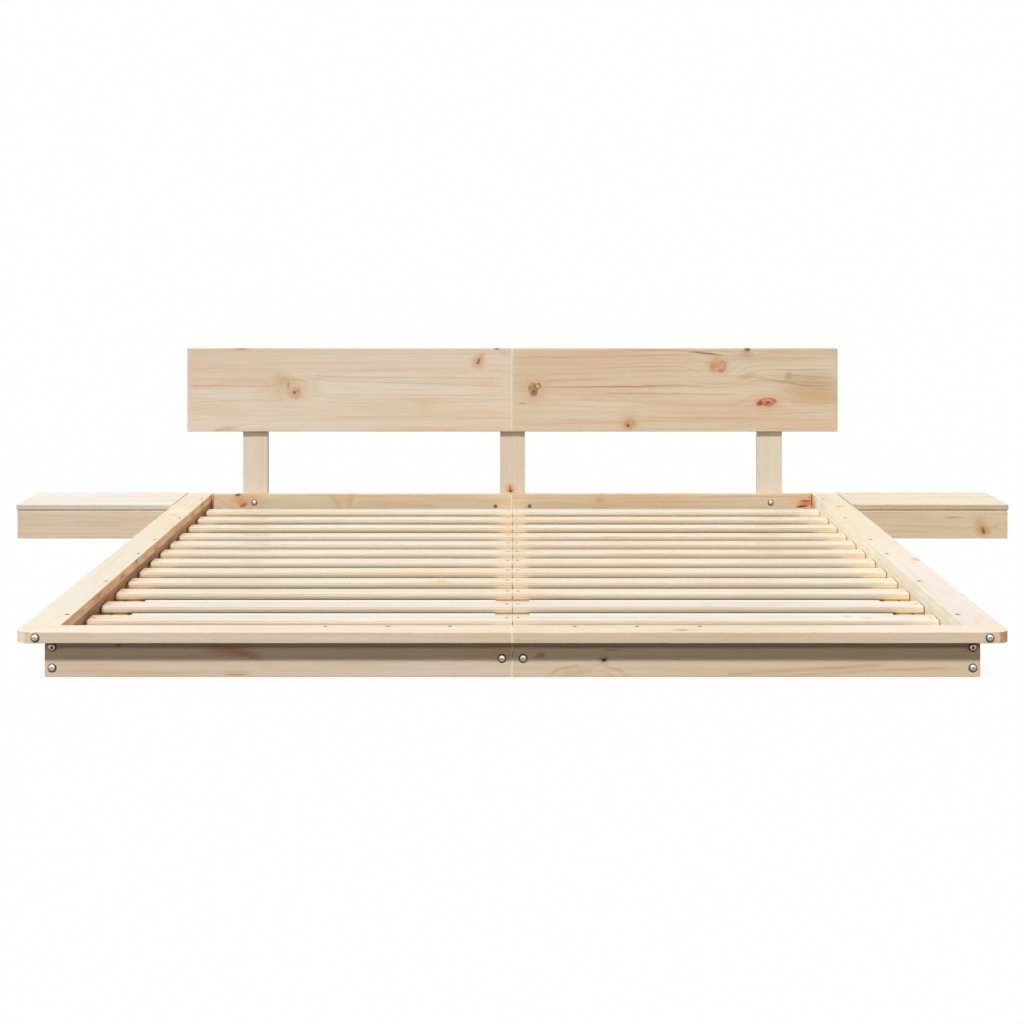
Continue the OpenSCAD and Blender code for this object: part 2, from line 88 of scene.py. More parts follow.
class Tree:
    """Short calls for building a node tree."""

    def __init__(self, nt):
        self.nt = nt

    def new(self, kind, **props):
        n = self.nt.nodes.new(kind)
        for k, v in props.items():
            setattr(n, k, v)
        return n

    def put(self, sock, val):
        if val is None:
            return
        if isinstance(val, bpy.types.NodeSocket):
            self.nt.links.new(val, sock)
        elif isinstance(val, (tuple, list, Vector)) and sock.type == "VALUE":
            raise ValueError(sock.name)
        else:
            sock.default_value = val

    def math(self, op, a, b=None, c=None, clamp=False):
        n = self.new("ShaderNodeMath", operation=op, use_clamp=clamp)
        for s, v in zip(n.inputs, (a, b, c)):
            self.put(s, v)
        return n.outputs[0]

    def vec(self, op, a, b=None, scale=None):
        n = self.new("ShaderNodeVectorMath", operation=op)
        self.put(n.inputs[0], a)
        self.put(n.inputs[1], b)
        if scale is not None:
            self.put(n.inputs["Scale"], scale)
        return n.outputs["Value"] if op in ("LENGTH", "DISTANCE", "DOT_PRODUCT") else n.outputs["Vector"]

    def xyz(self, v):
        n = self.new("ShaderNodeSeparateXYZ")
        self.put(n.inputs[0], v)
        return n.outputs[0], n.outputs[1], n.outputs[2]

    def join(self, x, y, z):
        n = self.new("ShaderNodeCombineXYZ")
        for s, v in zip(n.inputs, (x, y, z)):
            self.put(s, v)
        return n.outputs[0]

    def noise(self, v, scale=1.0, detail=2.0, rough=0.5, color=False, dims="3D", w=None):
        n = self.new("ShaderNodeTexNoise", noise_dimensions=dims)
        if dims != "1D":
            self.put(n.inputs["Vector"], v)
        if w is not None:
            self.put(n.inputs["W"], w)
        self.put(n.inputs["Scale"], scale)
        self.put(n.inputs["Detail"], detail)
        self.put(n.inputs["Roughness"], rough)
        return n.outputs["Color"] if color else n.outputs[0]

    def span(self, v, a, b, lo=0.0, hi=1.0, smooth=True):
        n = self.new("ShaderNodeMapRange", interpolation_type="SMOOTHSTEP" if smooth else "LINEAR")
        self.put(n.inputs["Value"], v)
        self.put(n.inputs["From Min"], a)
        self.put(n.inputs["From Max"], b)
        self.put(n.inputs["To Min"], lo)
        self.put(n.inputs["To Max"], hi)
        return n.outputs["Result"]

    def mix(self, f, a, b, blend="MIX"):
        n = self.new("ShaderNodeMix", data_type="RGBA", blend_type=blend)
        self.put(n.inputs[0], f)
        self.put(n.inputs[6], a)
        self.put(n.inputs[7], b)
        return n.outputs[2]

    def ramp(self, v, stops, interp="LINEAR"):
        n = self.new("ShaderNodeValToRGB")
        cr = n.color_ramp
        cr.interpolation = interp
        while len(cr.elements) < len(stops):
            cr.elements.new(0.5)
        for e, (p, c) in zip(cr.elements, stops):
            e.position = p
            e.color = (c, c, c, 1) if isinstance(c, (int, float)) else c
        self.put(n.inputs[0], v)
        return n.outputs[0]

    def use(self, group, **vals):
        n = self.new("ShaderNodeGroup")
        n.node_tree = group
        for k, v in vals.items():
            self.put(n.inputs[k.replace("_", " ")], v)
        return n


def group(name, ins, outs):
    g = bpy.data.node_groups.new(name, "ShaderNodeTree")
    kinds = {"f": "NodeSocketFloat", "v": "NodeSocketVector", "c": "NodeSocketColor"}
    for n, k in ins:
        g.interface.new_socket(n, in_out="INPUT", socket_type=kinds[k])
    for n, k in outs:
        g.interface.new_socket(n, in_out="OUTPUT", socket_type=kinds[k])
    t = Tree(g)
    i = t.new("NodeGroupInput").outputs
    o = t.new("NodeGroupOutput").inputs
    return g, t, i, o


# ------------------------------------------------------------- wood: a knot
# P is in the board's own frame: x along the grain, y across the face, z through
# the thickness. A knot bends the grain (Push) and is painted by several marks.


def make_knot_field():
    g, t, i, o = group(
        "knot field",
        [("P", "v"), ("Center", "v"), ("Radius", "f"), ("Stretch", "f"), ("Bend", "f"), ("Push in", "v")],
        [("Push", "v")],
    )
    x0, y0, _ = t.xyz(t.vec("SUBTRACT", i["P"], i["Center"]))
    # grain is pushed away from the knot, further along the grain than across it
    fx = t.math("DIVIDE", x0, t.math("MULTIPLY", t.math("MULTIPLY", i["Radius"], i["Stretch"]), 2.6))
    fy = t.math("DIVIDE", y0, t.math("MULTIPLY", i["Radius"], 2.3))
    q = t.math("ADD", t.math("MULTIPLY", fx, fx), t.math("MULTIPLY", fy, fy))
    fall = t.math("EXPONENT", t.math("MULTIPLY", q, -1.0))
    amount = t.math("MULTIPLY", t.math("MULTIPLY", fall, i["Bend"]), t.math("MULTIPLY", y0, -1.0))
    lift = t.math("MULTIPLY", t.math("MULTIPLY", fall, i["Bend"]), t.math("MULTIPLY", i["Radius"], 0.9))
    t.put(o["Push"], t.vec("ADD", i["Push in"], t.join(0.0, amount, lift)))
    return g


def make_mark():
    """a ragged spot or, with Ring at 1, a broken outline"""
    g, t, i, o = group(
        "wood mark",
        [("Color", "c"), ("P", "v"), ("Center", "v"), ("Long", "f"), ("Short", "f"), ("Turn", "f"),
         ("Ink", "c"), ("Strength", "f"), ("Soft", "f"), ("Ragged", "f"), ("Ring", "f")],
        [("Color", "c")],
    )
    x0, y0, _ = t.xyz(t.vec("SUBTRACT", i["P"], i["Center"]))
    c = t.math("COSINE", i["Turn"])
    s = t.math("SINE", i["Turn"])
    x = t.math("ADD", t.math("MULTIPLY", x0, c), t.math("MULTIPLY", y0, s))
    y = t.math("SUBTRACT", t.math("MULTIPLY", y0, c), t.math("MULTIPLY", x0, s))
    small = t.math("MINIMUM", i["Long"], i["Short"])
    freq = t.math("DIVIDE", 0.85, t.math("MAXIMUM", small, 0.0016))
    wob = t.noise(t.vec("ADD", i["P"], t.vec("SCALE", i["Center"], scale=7.0)), freq, 2.5, 0.6, color=True)
    wx, wy, wz = t.xyz(wob)
    k = t.math("MULTIPLY", small, i["Ragged"])
    x = t.math("MULTIPLY_ADD", t.math("SUBTRACT", wx, 0.5), k, x)
    y = t.math("MULTIPLY_ADD", t.math("SUBTRACT", wy, 0.5), k, y)
    ex = t.math("DIVIDE", x, i["Long"])
    ey = t.math("DIVIDE", y, i["Short"])
    rho = t.math("SQRT", t.math("ADD", t.math("MULTIPLY", ex, ex), t.math("MULTIPLY", ey, ey)))
    fill = t.span(rho, t.math("ADD", 1.0, i["Soft"]), t.math("SUBTRACT", 1.0, i["Soft"]))
    rd = t.math("DIVIDE", t.math("SUBTRACT", rho, 1.0), t.math("MAXIMUM", i["Soft"], 0.05))
    ring = t.math("EXPONENT", t.math("MULTIPLY", t.math("MULTIPLY", rd, rd), -1.0))
    ring = t.math("MULTIPLY", ring, t.span(wz, 0.36, 0.56, 0.15, 1.0))
    m = t.math("MULTIPLY_ADD", t.math("SUBTRACT", ring, fill), i["Ring"], fill)
    t.put(o["Color"], t.mix(t.math("MULTIPLY", m, i["Strength"]), i["Color"], i["Ink"]))
    return g


# ------------------------------------------- wood: rings, fibre and tone


def make_figure():
    g, t, i, o = group(
        "pine figure",
        [("P", "v"), ("Push", "v"), ("Seed", "v"), ("Pith across", "f"), ("Pith deep", "f"), ("Spacing", "f"),
         ("Wander", "f"), ("Late", "f"), ("Streaks", "f"), ("Tone", "f"),
         ("Pale", "c"), ("Warm", "c"), ("Dark", "c"), ("End", "f"), ("End pale", "c"), ("End ring", "c")],
        [("Color", "c"), ("Height", "f"), ("Rough", "f")],
    )
    P = i["P"]
    S = t.vec("ADD", P, i["Seed"])
    x, y, z = t.xyz(t.vec("ADD", P, i["Push"]))
    # the pith drifts slowly along the board
    drift = t.noise(t.vec("MULTIPLY", S, (0.75, 0.0, 0.0)), 1.0, 1.0, 0.5, color=True)
    dx, dy, _ = t.xyz(drift)
    cy = t.math("MULTIPLY_ADD", t.math("SUBTRACT", dx, 0.5), i["Wander"], i["Pith across"])
    cz = t.math("MULTIPLY_ADD", t.math("SUBTRACT", dy, 0.5), i["Wander"], i["Pith deep"])
    yy = t.math("SUBTRACT", y, cy)
    zz = t.math("SUBTRACT", z, cz)
    r = t.math("SQRT", t.math("ADD", t.math("MULTIPLY", yy, yy), t.math("MULTIPLY", zz, zz)))
    # soft waves in the rings
    w1 = t.noise(t.vec("MULTIPLY", S, (2.2, 17.0, 17.0)), 1.0, 2.0, 0.5)
    w2 = t.noise(t.vec("MULTIPLY", S, (7.0, 60.0, 60.0)), 1.0, 2.0, 0.5)
    r = t.math("MULTIPLY_ADD", t.math("SUBTRACT", w1, 0.5), 0.011, r)
    r = t.math("MULTIPLY_ADD", t.math("SUBTRACT", w2, 0.5), 0.0026, r)
    q = t.math("DIVIDE", r, i["Spacing"])
    n1 = t.noise(None, 38.0, 1.0, 0.5, dims="1D", w=r)
    q = t.math("MULTIPLY_ADD", n1, 1.4, q)
    f = t.math("FRACT", q)
    prof = t.ramp(f, [(0.0, 0.30), (0.07, 0.04), (0.40, 0.06), (0.74, 0.55), (0.90, 1.0), (1.0, 0.34)], "LINEAR")
    cell = t.new("ShaderNodeTexWhiteNoise", noise_dimensions="1D")
    t.put(cell.inputs["W"], t.math("ADD", t.math("FLOOR", q), t.math("MULTIPLY", i["Pith across"], 71.0)))
    prof = t.math("MULTIPLY", prof, t.math("MULTIPLY_ADD", cell.outputs[0], 0.75, 0.35))
    # late wood fades in and out along a board
    fade = t.span(t.noise(t.vec("MULTIPLY", S, (1.6, 26.0, 26.0)), 1.0, 2.0, 0.5), 0.30, 0.66, 0.25, 1.0)
    late = t.math("MULTIPLY", t.math("MULTIPLY", prof, fade), i["Late"])

    fibre = t.noise(t.vec("MULTIPLY", S, (13.0, 1000.0, 1000.0)), 1.0, 3.0, 0.62)
    bands = t.noise(t.vec("MULTIPLY", S, (2.6, 120.0, 120.0)), 1.0, 3.0, 0.55)
    broad = t.noise(t.vec("MULTIPLY", S, (1.1, 9.0, 9.0)), 1.0, 2.0, 0.5)
    pink = t.noise(t.vec("MULTIPLY", t.vec("ADD", S, (7.7, 3.1, 1.9)), (1.7, 13.0, 13.0)), 1.0, 2.0, 0.5)
    dash = t.noise(t.vec("MULTIPLY", S, (34.0, 1500.0, 1500.0)), 1.0, 1.0, 0.5)

    col = t.mix(t.span(broad, 0.33, 0.67, 0.0, 1.0), i["Pale"], i["Warm"])
    rose = t.mix(1.0, col, lin(254, 238, 228), "MULTIPLY")
    col = t.mix(t.math("MULTIPLY", t.span(pink, 0.45, 0.7), i["Tone"]), col, rose)
    tan = t.mix(1.0, col, i["Dark"], "MULTIPLY")
    col = t.mix(t.math("MULTIPLY", t.span(bands, 0.46, 0.74), i["Streaks"]), col, tan)
    col = t.mix(late, col, tan)
    f1 = t.span(fibre, 0.25, 0.75, 0.955, 1.035, smooth=False)
    col = t.vec("SCALE", col, scale=f1)
    d1 = t.span(dash, 0.70, 0.80, 1.0, 0.90)
    col = t.vec("SCALE", col, scale=d1)
    # end grain: darker and browner, with clear rings and open pores
    pore = t.span(t.noise(P, 2600.0, 1.0), 0.35, 0.62, 0.86, 1.0)
    endc = t.mix(1.0, col, i["End pale"], "MULTIPLY")
    endc = t.mix(t.math("MULTIPLY", prof, 0.55), endc, t.mix(1.0, endc, i["End ring"], "MULTIPLY"))
    endc = t.vec("SCALE", endc, scale=pore)
    col = t.mix(i["End"], col, endc)
    t.put(o["Color"], col)
    h = t.math("MULTIPLY_ADD", late, 0.35, t.math("MULTIPLY", fibre, 0.65))
    t.put(o["Height"], h)
    ro = t.math("MULTIPLY_ADD", t.math("SUBTRACT", broad, 0.5), 0.12, 0.36)
    ro = t.math("MULTIPLY_ADD", t.math("SUBTRACT", fibre, 0.5), 0.16, ro)
    t.put(o["Rough"], t.math("MULTIPLY_ADD", i["End"], 0.18, ro))
    return g


# a thin line along the grain, such as a dark ring edge or a fine check
def make_line():
    g, t, i, o = group(
        "grain line",
        [("Color", "c"), ("P", "v"), ("Push", "v"), ("From", "f"), ("To", "f"), ("Across", "f"), ("Slope", "f"), ("Width", "f"), ("Ink", "c"), ("Strength", "f")],
        [("Color", "c")],
    )
    x, y, z = t.xyz(t.vec("ADD", i["P"], i["Push"]))
    wave = t.noise(t.join(t.math("MULTIPLY", x, 6.0), i["Across"], 0.0), 1.0, 2.0, 0.5)
    mid = t.math("MULTIPLY_ADD", t.math("SUBTRACT", wave, 0.5), 0.006, i["Across"])
    mid = t.math("MULTIPLY_ADD", t.math("SUBTRACT", x, i["From"]), i["Slope"], mid)
    d = t.math("DIVIDE", t.math("SUBTRACT", y, mid), i["Width"])
    m = t.math("EXPONENT", t.math("MULTIPLY", t.math("MULTIPLY", d, d), -1.0))
    a = t.span(x, i["From"], t.math("ADD", i["From"], 0.03))
    b = t.span(x, i["To"], t.math("SUBTRACT", i["To"], 0.06))
    br = t.span(t.noise(t.vec("MULTIPLY", i["P"], (22.0, 300.0, 0.0)), 1.0, 2.0, 0.5), 0.25, 0.6, 0.45, 1.0)
    m = t.math("MULTIPLY", t.math("MULTIPLY", m, br), t.math("MULTIPLY", a, b))
    t.put(o["Color"], t.mix(t.math("MULTIPLY", m, i["Strength"]), i["Color"], i["Ink"]))
    return g


KNOT_FIELD = make_knot_field()
MARK = make_mark()
FIGURE = make_figure()
LINE = make_line()

AXIS = {"X": 0, "Y": 1, "Z": 2}
KNOT_TYPES = {
    # halo, body, rim, heart; each an ink and a strength
    "red": (((224, 172, 138), 0.75), ((202, 140, 100), 0.75), ((128, 70, 44), 0.7), ((104, 54, 34), 0.85)),
    "dark": (((212, 176, 142), 0.6), ((158, 118, 80), 0.8), ((92, 60, 38), 0.85), ((66, 40, 26), 0.95)),
    "pale": (((232, 196, 158), 0.6), ((218, 174, 134), 0.6), ((180, 126, 90), 0.4), ((168, 110, 74), 0.7)),
    "faint": (((228, 200, 166), 0.45), ((214, 182, 146), 0.4), ((190, 152, 118), 0.25), ((190, 148, 110), 0.4)),
}


def knot_marks(c, radius, stretch, kind, turn):
    """marks of an ordinary knot around c, in the board's own frame"""
    halo, body, rim, heart = KNOT_TYPES[kind]
    long, short = radius * stretch, radius
    return [(c, long * 2.1, short * 1.9, turn, halo[0], halo[1], 0.85, 0.5, 0.0),
            (c, long * 0.95, short * 0.95, turn, body[0], body[1], 0.35, 0.7, 0.0),
            (c, long * 0.62, short * 0.6, turn, rim[0], rim[1] * 0.5, 0.16, 0.7, 1.0),
            (c, long, short, turn, rim[0], rim[1], 0.14, 0.7, 1.0),
            (c, long * 0.26, short * 0.3, turn, heart[0], heart[1], 0.5, 0.8, 0.0)]


def wood(name, lo, hi, along, across, tone, seed, pith=(0.0, -0.07), spacing=0.0055, wander=0.03,
         late=0.42, streaks=0.30, pinks=0.6, knots=(), marks=(), lines=(), halves=None, warm=(0.985, 0.955, 0.915), dark=(226, 196, 160), nose_light_and_shade=0.0,
         seam=None, inner=None, ends=((226, 196, 164), (205, 158, 118)), end_from=(0.55, 0.85)):
    """Material for one board that fills the box lo..hi. knots, marks and lines are in the row frame."""
    rnd = random.Random(seed)
    mat = bpy.data.materials.new("wood_" + name)
    mat.use_nodes = True
    nt = mat.node_tree
    nt.nodes.clear()
    t = Tree(nt)
    out = t.new("ShaderNodeOutputMaterial")
    bsdf = t.new("ShaderNodeBsdfPrincipled")
    nt.links.new(bsdf.outputs[0], out.inputs[0])
    bsdf.inputs["Specular IOR Level"].default_value = 0.3
    bsdf.inputs["IOR"].default_value = 1.52
    coord = t.new("ShaderNodeTexCoord")
    mid = (Vector(lo) + Vector(hi)) / 2
    deep = ({"X", "Y", "Z"} - {along, across}).pop()
    p0 = t.xyz(coord.outputs["Object"])
    px = t.math("SUBTRACT", p0[AXIS[along]], mid[AXIS[along]])
    py = t.math("SUBTRACT", p0[AXIS[across]], mid[AXIS[across]])
    pz = t.math("SUBTRACT", p0[AXIS[deep]], mid[AXIS[deep]])
    P = t.join(px, py, pz)
    n0 = t.xyz(coord.outputs["Normal"])
    endness = t.span(t.math("ABSOLUTE", n0[AXIS[along]]), *end_from)
    arris_highlight = None
    if seam:
        # a painted highlight: the arris on each side of a tight joint is painted pale where the joint's shade falls
        axis, where, reach, _ = seam
        gap = t.math("ABSOLUTE", t.math("SUBTRACT", p0[AXIS[axis]], where))
        arris_highlight = t.span(gap, reach, reach * 0.55)
        endness = t.math("MULTIPLY", endness, t.math("SUBTRACT", 1.0, arris_highlight))
    seedv = (rnd.uniform(-40, 40), rnd.uniform(-3, 3), rnd.uniform(-3, 3))
    seed_in, across_in, deep_in = seedv, pith[0], pith[1]
    if halves:
        # one node with several boards: each gets another piece of the log
        step = None
        for k, (axis, where) in enumerate(halves):
            s = t.math("GREATER_THAN", p0[AXIS[axis]], where)
            s = t.math("MULTIPLY", s, float(2 ** k))
            step = s if step is None else t.math("ADD", step, s)
        seed_in = t.vec("ADD", t.vec("SCALE", (5.3, 1.7, 0.9), scale=step), seedv)
        across_in = t.math("MULTIPLY_ADD", step, 0.017, pith[0])
    push = None
    paint = []
    flat = t.join(px, py, 0.0)
    for pos, radius, stretch, kind, *more in knots:
        turn = more[0] if more else rnd.uniform(-0.25, 0.25)
        bend = more[1] if len(more) > 1 else 0.85
        c = Vector(pos) - mid
        c = (c[AXIS[along]], c[AXIS[across]], 0.0)
        kf = t.use(KNOT_FIELD, P=flat, Center=c, Radius=radius, Stretch=stretch, Bend=bend)
        if push is not None:
            t.put(kf.inputs["Push in"], push)
        push = kf.outputs["Push"]
        if kind:
            paint += knot_marks(c, radius, stretch, kind, turn)
    for pos, across_x, other, turn, ink, strength, soft, ring in marks:
        c = Vector(pos) - mid
        c = (c[AXIS[along]], c[AXIS[across]], 0.0)
        turn = math.radians(turn)
        size = (across_x, other, turn) if along == "X" else (other, across_x, -turn)
        paint.append((c, *size, ink, strength, soft, 0.8 if min(across_x, other) < 0.02 else 0.2, ring))
    base = lin(*tone)
    pale = tuple(min(1.0, c * 1.02) for c in base[:3]) + (1,)
    warmc = tuple(c * w for c, w in zip(base[:3], warm)) + (1,)
    fig = t.use(FIGURE, P=P, Spacing=spacing, Wander=wander, Late=late, Streaks=streaks, Tone=pinks,
                Pale=pale, Warm=warmc, Dark=lin(*dark), End=endness, End_pale=lin(*ends[0]), End_ring=lin(*ends[1]))
    t.put(fig.inputs["Seed"], seed_in)
    t.put(fig.inputs["Pith across"], across_in)
    t.put(fig.inputs["Pith deep"], deep_in)
    if push is not None:
        t.put(fig.inputs["Push"], push)
    col = fig.outputs["Color"]
    for a, b, slope, width, ink, strength in lines:
        a = Vector(a) - mid
        b = Vector(b) - mid
        ln = t.use(LINE, P=P, From=a[AXIS[along]], To=b[AXIS[along]], Across=a[AXIS[across]], Slope=slope,
                   Width=width, Ink=ink_of(ink), Strength=strength)
        t.put(ln.inputs["Color"], col)
        if push is not None:
            t.put(ln.inputs["Push"], push)
        col = ln.outputs[0]
    for c, long, short, turn, ink, strength, soft, ragged, ring in paint:
        mk = t.use(MARK, P=flat, Center=c, Long=long, Short=short, Turn=turn, Ink=ink if len(ink) == 4 else ink_of(ink), Strength=strength, Soft=soft, Ragged=ragged, Ring=ring)
        t.put(mk.inputs["Color"], col)
        col = mk.outputs["Color"]
    # handling wear: eased edges are a little polished and darker in places
    half = (Vector(hi) - Vector(lo)) / 2
    dl = t.math("SUBTRACT", half[AXIS[along]], t.math("ABSOLUTE", px))
    dw = t.math("SUBTRACT", half[AXIS[across]], t.math("ABSOLUTE", py))
    dt = t.math("SUBTRACT", half[AXIS[deep]], t.math("ABSOLUTE", pz))
    mn = t.math("MINIMUM", dl, dw)
    mx = t.math("MAXIMUM", dl, dw)
    second = t.math("MAXIMUM", mn, t.math("MINIMUM", mx, dt))
    if halves:
        second = t.math("MAXIMUM", t.math("MINIMUM", dw, dt), 0.0)
        second = t.math("MAXIMUM", dw, dt) if len(halves) < 2 else t.math("ADD", second, 0.02)
    edge = t.span(second, 0.0045, 0.0004)
    patch = t.span(t.noise(P, 24.0, 3.0, 0.6), 0.42, 0.66)
    worn = t.math("MULTIPLY", t.math("MULTIPLY", edge, patch), 0.30)
    col = t.mix(worn, col, t.mix(1.0, col, lin(236, 222, 204), "MULTIPLY"))
    # painted highlight along the arris of the joint
    if arris_highlight is not None:
        col = t.mix(t.math("MULTIPLY", arris_highlight, seam[3]), col, lin(255, 248, 232))
    if inner:
        # the face towards the mattress: painted dark orange-brown as shade on the left side and pale as lit on the
        # right side, with rough-sawn mottling on top
        sign, ink, amount, fine, spots = inner
        under = t.math("ABSOLUTE", n0[2]) if across == "Z" else t.math("MAXIMUM", t.math("MULTIPLY", n0[2], -1.0), 0.0)
        faced = t.span(t.math("MULTIPLY_ADD", under, 0.35, t.math("MULTIPLY", n0[0], sign)), 0.4, 0.7)
        blot = t.noise(t.vec("MULTIPLY", P, (9.0, 42.0, 42.0)), 1.0, 4.0, 0.62)
        col = t.mix(t.math("MULTIPLY", faced, amount), col, lin(*ink))
        col = t.mix(t.math("MULTIPLY", t.math("MULTIPLY", faced, t.span(blot, 0.50, 0.66)), fine), col, lin(*spots[0]))
        col = t.mix(t.math("MULTIPLY", t.math("MULTIPLY", faced, t.span(blot, 0.46, 0.34)), fine), col, lin(*spots[1]))
    # painted shade on the front of a slat's rounded nose, and painted bounce light, paler and warmer, on its underside
    if nose_light_and_shade:
        up = n0[2]
        nose_shade_mask = t.math("MULTIPLY", t.span(up, 0.97, 0.78), t.span(up, -0.45, 0.05))
        nose_shade_mask = t.math("MULTIPLY", nose_shade_mask, t.math("SUBTRACT", 1.0, endness))
        col = t.mix(t.math("MULTIPLY", nose_shade_mask, nose_light_and_shade), col, t.mix(1.0, col, lin(198, 182, 154), "MULTIPLY"))
        underside_bounce_mask = t.math("MULTIPLY", t.span(up, 0.15, -0.3), t.math("SUBTRACT", 1.0, endness))
        col = t.mix(t.math("MULTIPLY", underside_bounce_mask, 0.85), col, lin(250, 229, 192))
    nt.links.new(col, bsdf.inputs["Base Color"])
    rough = t.math("SUBTRACT", fig.outputs["Rough"], t.math("MULTIPLY", worn, 0.25))
    nt.links.new(rough, bsdf.inputs["Roughness"])
    bump = t.new("ShaderNodeBump")
    bump.inputs["Strength"].default_value = 0.35
    bump.inputs["Distance"].default_value = 0.0002
    nt.links.new(fig.outputs["Height"], bump.inputs["Height"])
    nt.links.new(bump.outputs[0], bsdf.inputs["Normal"])
    return mat


def dress(node, mat):
    o = NODES[node]
    o.data.materials.clear()
    o.data.materials.append(mat)


# ---------------------------------------------------------------- the boards

F = 1996.3  # the photograph's focal length in pixels, for placing what it shows
CAM_Y = -4.9928
CAM_Z = 0.8828


def seen_front(u, v, y):
    """point of the plane at depth y that is seen at pixel u, v"""
    d = y - CAM_Y
    return Vector(((u - 512.47) * d / F, y, CAM_Z - (v - 233.2) * d / F))


def seen_top(u, v, z):
    d = (CAM_Z - z) * F / (v - 233.2)
    return Vector(((u - 512.47) * d / F, CAM_Y + d, z))


def on_front(y, *marks):
    """marks seen on the plane at depth y: (u, v, radius across, radius up, turn, ink, strength, soft[, ring])"""
    k = (y - CAM_Y) / F
    return [(seen_front(m[0], m[1], y), m[2] * k, m[3] * k, m[4], m[5], m[6], m[7], m[8] if len(m) > 8 else 0.0) for m in marks]


def on_top(z, *marks):
    """marks seen on the plane at height z, radii in pixels too"""
    out = []
    for m in marks:
        pos = seen_top(m[0], m[1], z)
        d = pos[1] - CAM_Y
        out.append((pos, m[2] * d / F, m[3] * d * d / ((CAM_Z - z) * F), m[4], m[5], m[6], m[7], m[8] if len(m) > 8 else 0.0))
    return out


def boxed(node):
    lo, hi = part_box(node)
    return tuple(lo), tuple(hi)


# base colours of the boards, sRGB
TONES = {
    "headboard_left": (235, 225, 211), "headboard_right": (231, 217, 199),
    "post_left": (227, 217, 202), "post_center": (225, 212, 197), "post_right": (229, 226, 215),
    "back_rail_left": (231, 214, 187), "back_rail_right": (230, 211, 182),
    "foot_board_left": (240, 225, 207), "foot_board_right": (240, 225, 204),
    "foot_rail_left": (240, 225, 205), "foot_rail_right": (237, 221, 198),
    "side_rail_left_front": (230, 226, 209), "side_rail_left_rear": (223, 206, 174),
    "side_rail_right_front": (235, 225, 217), "side_rail_right_rear": (229, 217, 188),
    "side_board_left": (252, 222, 158), "side_board_right": (224, 222, 202),
    # ledger_left is painted dark brown as the shade on the left ledger; ledger_right is a darker tan as the shade under
    # the slat ends
    "ledger_left": (156, 124, 86), "ledger_right": (214, 190, 154), "battens": (246, 232, 208),
    "beam": (218, 202, 178), "feet": (232, 206, 168), "slats": (239, 231, 216),
    "night_top_left": (227, 223, 213), "night_top_right": (227, 214, 186),
    "night_front_left": (239, 225, 205), "night_front_right": (242, 223, 195),
    "night_side": (230, 206, 172), "spacer": (230, 204, 166),
}
BROWN = (168, 128, 92)
GREY = (148, 116, 76)
RED = (176, 110, 72)

# headboard
yh = at(0, 2089, 0)[1]
lo, hi = boxed("headboard_panel_left")
HB = lambda u, v: seen_front(u, v, yh)
dress("headboard_panel_left", wood(
    "headboard_left", lo, hi, "X", "Z", TONES["headboard_left"], 11, pith=(0.02, -0.16), spacing=0.0068, late=0.26, streaks=0.26, seam=("X", -0.0007, 0.0036, 0.70),
    knots=[(HB(240.5, 346.0), 0.010, 2.0, None), (HB(293.0, 388), 0.019, 1.25, None), (HB(478, 361.5), 0.008, 1.2, None), (HB(228, 433), 0.010, 2.0, None)],
    marks=on_front(yh,
        (240, 348.4, 11, 2.2, 0, (220, 178, 150), 0.55, 0.8), (242, 348.3, 5.5, 1.1, 0, (196, 138, 114), 0.75, 0.6),
        (286, 389, 24, 11, 0, (222, 192, 160), 0.55, 0.9), (283, 379.5, 9, 5, -20, (200, 174, 140), 0.40, 0.9), (295.5, 393.3, 5.6, 5.0, 0, (216, 164, 132), 0.72, 0.85),
        (293.6, 389.8, 6.0, 8.0, 8, (176, 152, 116), 0.32, 0.16, 1.0), (288.3, 385.0, 1.0, 3.4, 4, (166, 140, 102), 0.5, 0.8),
        (296.5, 382.2, 6.5, 1.0, -8, (236, 218, 182), 0.65, 0.7), (293.0, 379.8, 12, 0.8, -5, (192, 166, 130), 0.38, 0.8),
        (297.5, 390.5, 2.6, 0.7, -40, (176, 126, 92), 0.5, 0.6), (294.5, 392.3, 1.5, 1.1, -45, (128, 70, 44), 0.92, 0.5),
        (478, 362.2, 5.8, 5.8, 20, (216, 166, 134), 0.74, 0.85), (481.5, 356.5, 2.5, 3.5, -20, (214, 166, 142), 0.5, 0.8),
        (478.9, 360.2, 0.95, 1.7, 10, (128, 62, 40), 0.88, 0.5), (477.8, 363.0, 1.3, 1.1, 0, (134, 70, 44), 0.82, 0.5),
        (496.8, 348.5, 2.3, 1.15, 0, (118, 100, 70), 0.95, 0.5), (502, 351.4, 3.8, 1.3, -32, (190, 176, 148), 0.38, 0.8),
        (227, 428.5, 9, 1.8, 4, (220, 176, 158), 0.6, 0.8), (219, 430, 4, 0.8, 0, (196, 164, 150), 0.5, 0.7),
        (425, 404, 9, 7, 0, (224, 198, 150), 0.30, 0.9), (484, 383, 12, 5, 0, (226, 198, 150), 0.30, 0.9), (420, 430, 60, 3.2, 0, (228, 190, 172), 0.45, 0.9)),
    lines=[(HB(186, 369), HB(275, 369), 0.0, 0.0014, GREY, 0.26), (HB(186, 379), HB(285, 379), 0.0, 0.0012, GREY, 0.24),
           (HB(186, 385.5), HB(288, 386.5), -0.01, 0.0016, GREY, 0.45), (HB(305, 376.5), HB(512, 378), -0.008, 0.0016, BROWN, 0.32),
           (HB(300, 380), HB(512, 387), -0.03, 0.0016, GREY, 0.26), (HB(250, 421.8), HB(275, 421.8), 0.0, 0.0009, GREY, 0.6),
           (HB(300, 394), HB(512, 396), -0.01, 0.0014, BROWN, 0.24), (HB(330, 417), HB(512, 417), 0.0, 0.0014, GREY, 0.22),
           (HB(186, 403), HB(275, 397), 0.05, 0.0014, GREY, 0.22)]))
lo, hi = boxed("headboard_panel_right")
OLIVE = (132, 100, 52)
